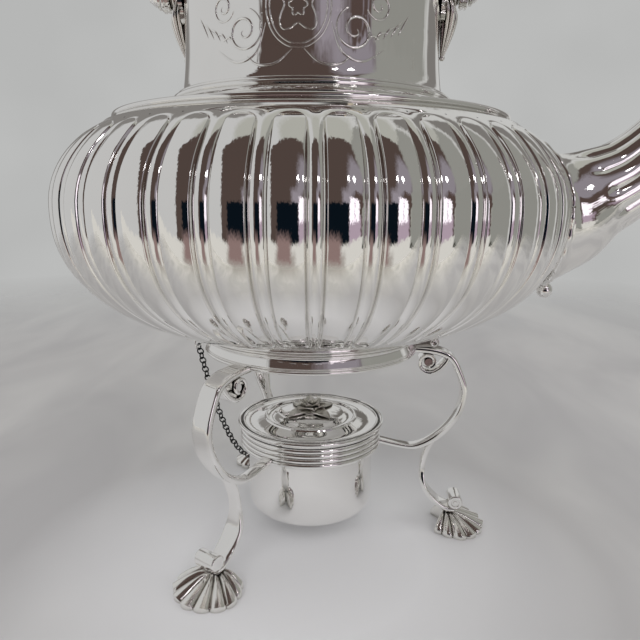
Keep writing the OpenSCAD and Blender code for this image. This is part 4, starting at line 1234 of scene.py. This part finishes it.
def branch_shape():
    line = spline(BRANCH_PATH, 8)
    sections = [strap(mix(LEG_W, ARM_W - 0.3, smooth((z - 17) / 12)), LEG_T * 0.9) for x, z in line]
    r, half = 3.2, LEG_W * 0.55
    roll = [(0, -half)] + arc(r - 0.6, -half + 0.6, 0.6, -90, 0, 5) + arc(r - 0.6, half - 0.6, 0.6, 0, 90, 5)
    roll = turned(roll + off(0, half, (1.9, 0), (1.7, -0.5), (0.9, -0.5), (0.7, 0), (0, 0)), 48)
    roll = moved(roll, Matrix.Translation((FOOT_R + 3.4, 0, 12.4)) @ TO_MINUS_Y)
    return joined(carried(line, sections), roll)


def add_stand():
    foot = raised(fan_shape(16.4, 7.2, 1.6, 11, 128, 1.4, 1), FOOT_R)
    shapes = [("leg", "scroll", leg_shape(), SILVER, 38), ("branch", "strap", branch_shape(), SILVER, 38),
              ("foot", "shell", foot, CAST_SILVER, 50)]
    for name, turn in TURNS.items():
        for part, end, shape, material, sharp in shapes:
            node = "%s_%s" % (part, name)
            add_piece("%s_%s" % (node, end), about_z(shape, turn), material, "stand", node, sharp=sharp)


add_stand()


# Burner
CUP_R, CUP_WALL, CUP_BOTTOM, CUP_CORNER = 27.4, 1.0, 8.6, 6
BURNER_RING_TOP, BURNER_RING_H = 46.3, 8.5
BURNER_RING_R = CUP_R + 3.6
FLANGE_Z, FLANGE_H = 46.5, 0.8
LID_Z = FLANGE_Z + FLANGE_H + 0.2
LID_R = BURNER_RING_R + 1.1


def add_burner():
    bore = CUP_R + 0.4
    step = (BURNER_RING_H - 2.2) / 3
    ring = [(bore, BURNER_RING_TOP - BURNER_RING_H)]
    for k in range(3, -1, -1):
        ring += arc(BURNER_RING_R - 1.1, BURNER_RING_TOP - 1.1 - k * step, 1.06, -75, 75, 10)
    add_turned("burner_ring", ring + [(bore, BURNER_RING_TOP)], "stand", 224, sharp=60)
    corner = (CUP_R - CUP_CORNER, CUP_BOTTOM + CUP_CORNER)
    outer = [(0, CUP_BOTTOM)] + arc(*corner, CUP_CORNER, -90, 0, 16) + [(CUP_R, 30), (CUP_R, FLANGE_Z - 0.01)]
    outer += off(BURNER_RING_R, FLANGE_Z, (-0.8, 0), (-0.8, FLANGE_H))
    inner = [(CUP_R - CUP_WALL, FLANGE_Z + FLANGE_H), (CUP_R - CUP_WALL, 30)]
    inner += arc(*corner, CUP_CORNER - CUP_WALL, 0, -90, 12) + [(0, CUP_BOTTOM + CUP_WALL)]
    add_turned("burner_cup", outer + inner, "burner", 224)
    top = arc(LID_R - 0.9, LID_Z + 0.85, 0.85, -90, 100, 12) + off(LID_R, LID_Z, (-1.5, 1.25), (-2.1, 1.2))
    top += arc(LID_R - 2.6, LID_Z + 1.25, 0.4, 10, 170, 6)
    top += spline(off(LID_R, LID_Z, (-3.4, 1.1), (-5.5, 0.55)) + off(0, LID_Z, (24, 0.9), (20.5, 2.2)), 6)
    top += arc(19.6, LID_Z + 2.3, 0.75, 20, 150, 8)
    top += spline(off(0, LID_Z, (18.6, 2.3), (17.2, 1.9), (15.6, 2.4), (13.5, 3.5), (8, 4.5), (3, 4.8)), 5)
    under = off(0, LID_Z, (0, 4.8), (0, 3.8), (8, 3.4), (14, 2.4), (16.5, 1.2), (19, 1.4), (24, 0.1),
                (LID_R - 3, 0))
    add_turned("burner_lid", top + under, "burner_lid", 224)
    # Painted shadow: a dark ring laid in the lid's groove to darken it
    line = turned(arc(LID_R - 1.75, LID_Z + 1.28, 0.32, 0, 330, 11), 224)
    add_piece("burner_lid_groove_shadow", line, GROOVE_SHADOW, "burner_lid", "burner_lid")
    skirt = off(0, LID_Z, (25.2, -0.8), (25.4, -1), (25.8, -1), (26, -0.8), (26, 0.55), (25.2, 0.55))
    add_turned("burner_lid_skirt", skirt, "burner_lid", 160)


add_burner()


# Rose on the burner's lid: petals and leaves laid round a small dome
ROSE_Z = LID_Z + 4.2


def petal(long, wide, curl, lift, thick=0.5, rows=8, cols=8):
    """A cupped petal that points along X from the origin."""
    rings = []
    for s in shares(rows):
        half = wide * sin(pi * min(1, s * 0.86 + 0.12)) ** 0.7 * (1 - 0.25 * s * s)
        ring = []
        for q in (2 * k - 1 for k in shares(cols)):
            ripple = 0.12 * wide * sin(3 * q + 5 * s)
            z = lift + curl * s * s * (1 + 0.25 * q * q) + 0.35 * half * q * q + ripple * s
            ring.append((long * s, half * q, z))
        rings.append(ring + [(x, y, z - thick) for x, y, z in reversed(ring)])
    return grid(rings, caps=True)


def add_rose():
    base = raised(turned([(0, 0), (6.4, 0), (6.2, 0.9), (4.6, 1.4), (0, 1.8)], 64), z=ROSE_Z)
    add_piece("rose_base", base, SOFT_SILVER, "burner_lid", "burner_lid_rose")
    layers = [("rose_leaves", 4, 12.4, 3.4, -0.6, 0.7, 45), ("rose_petals_low", 5, 6.4, 2.9, 1.2, 1.4, 0),
              ("rose_petals_mid", 5, 4.8, 2.5, 2.0, 2.2, 36), ("rose_petals_top", 4, 3.0, 1.9, 2.4, 3.0, 10)]
    for name, count, long, wide, curl, lift, turn in layers:
        shape = raised(about_z(raised(petal(long, wide, curl, lift), 0.3), turn), z=ROSE_Z)
        repeat_round(name + "_round", count).piece(name, shape, SOFT_SILVER, "burner_lid", "burner_lid_rose")


add_rose()


# Chain
CHAIN_START = (-LUG_X, 9.2, 77.2)
CHAIN_END = (-20.5, 35.507, 32.5)
CHAIN_SAG = 34
CHAIN_PITCH, LINK_R, LINK_WIRE_R = 2.28, 1.45, 0.3


def add_chain(n=120):
    path = []
    for t in shares(n):
        x, y, z = mix_points(CHAIN_START, CHAIN_END, t)
        path.append((x, y, z - 4 * CHAIN_SAG * t * (1 - t)))
    run = sum(dist(a, b) for a, b in zip(path, path[1:]))
    links = 2 * ceil(run / CHAIN_PITCH / 2)
    chain = repeat_links("chain_links", links, LINK_R, LINK_WIRE_R)
    line = (path, [(i, i + 1) for i in range(n)])
    chain.piece("lock_chain_links", line, DARK_WIRE, "stand", "lock_chain", sharp=60)


add_chain()


# Everything else keeps its solid and takes a procedural material
LOOKS = {"finial_insulator": IVORY, "handle_ferrule_spout": IVORY, "handle_ferrule_back": IVORY,
         "finial_knob": WOOD, "handle_grip": WOOD, "chain_anchor": DARK_WIRE, "lock_chain": DARK_WIRE,
         "wick": COTTON}


def paint_solids():
    for name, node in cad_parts.items():
        node.data.materials.clear()
        node.data.materials.append(LOOKS.get(name, SILVER))


paint_solids()
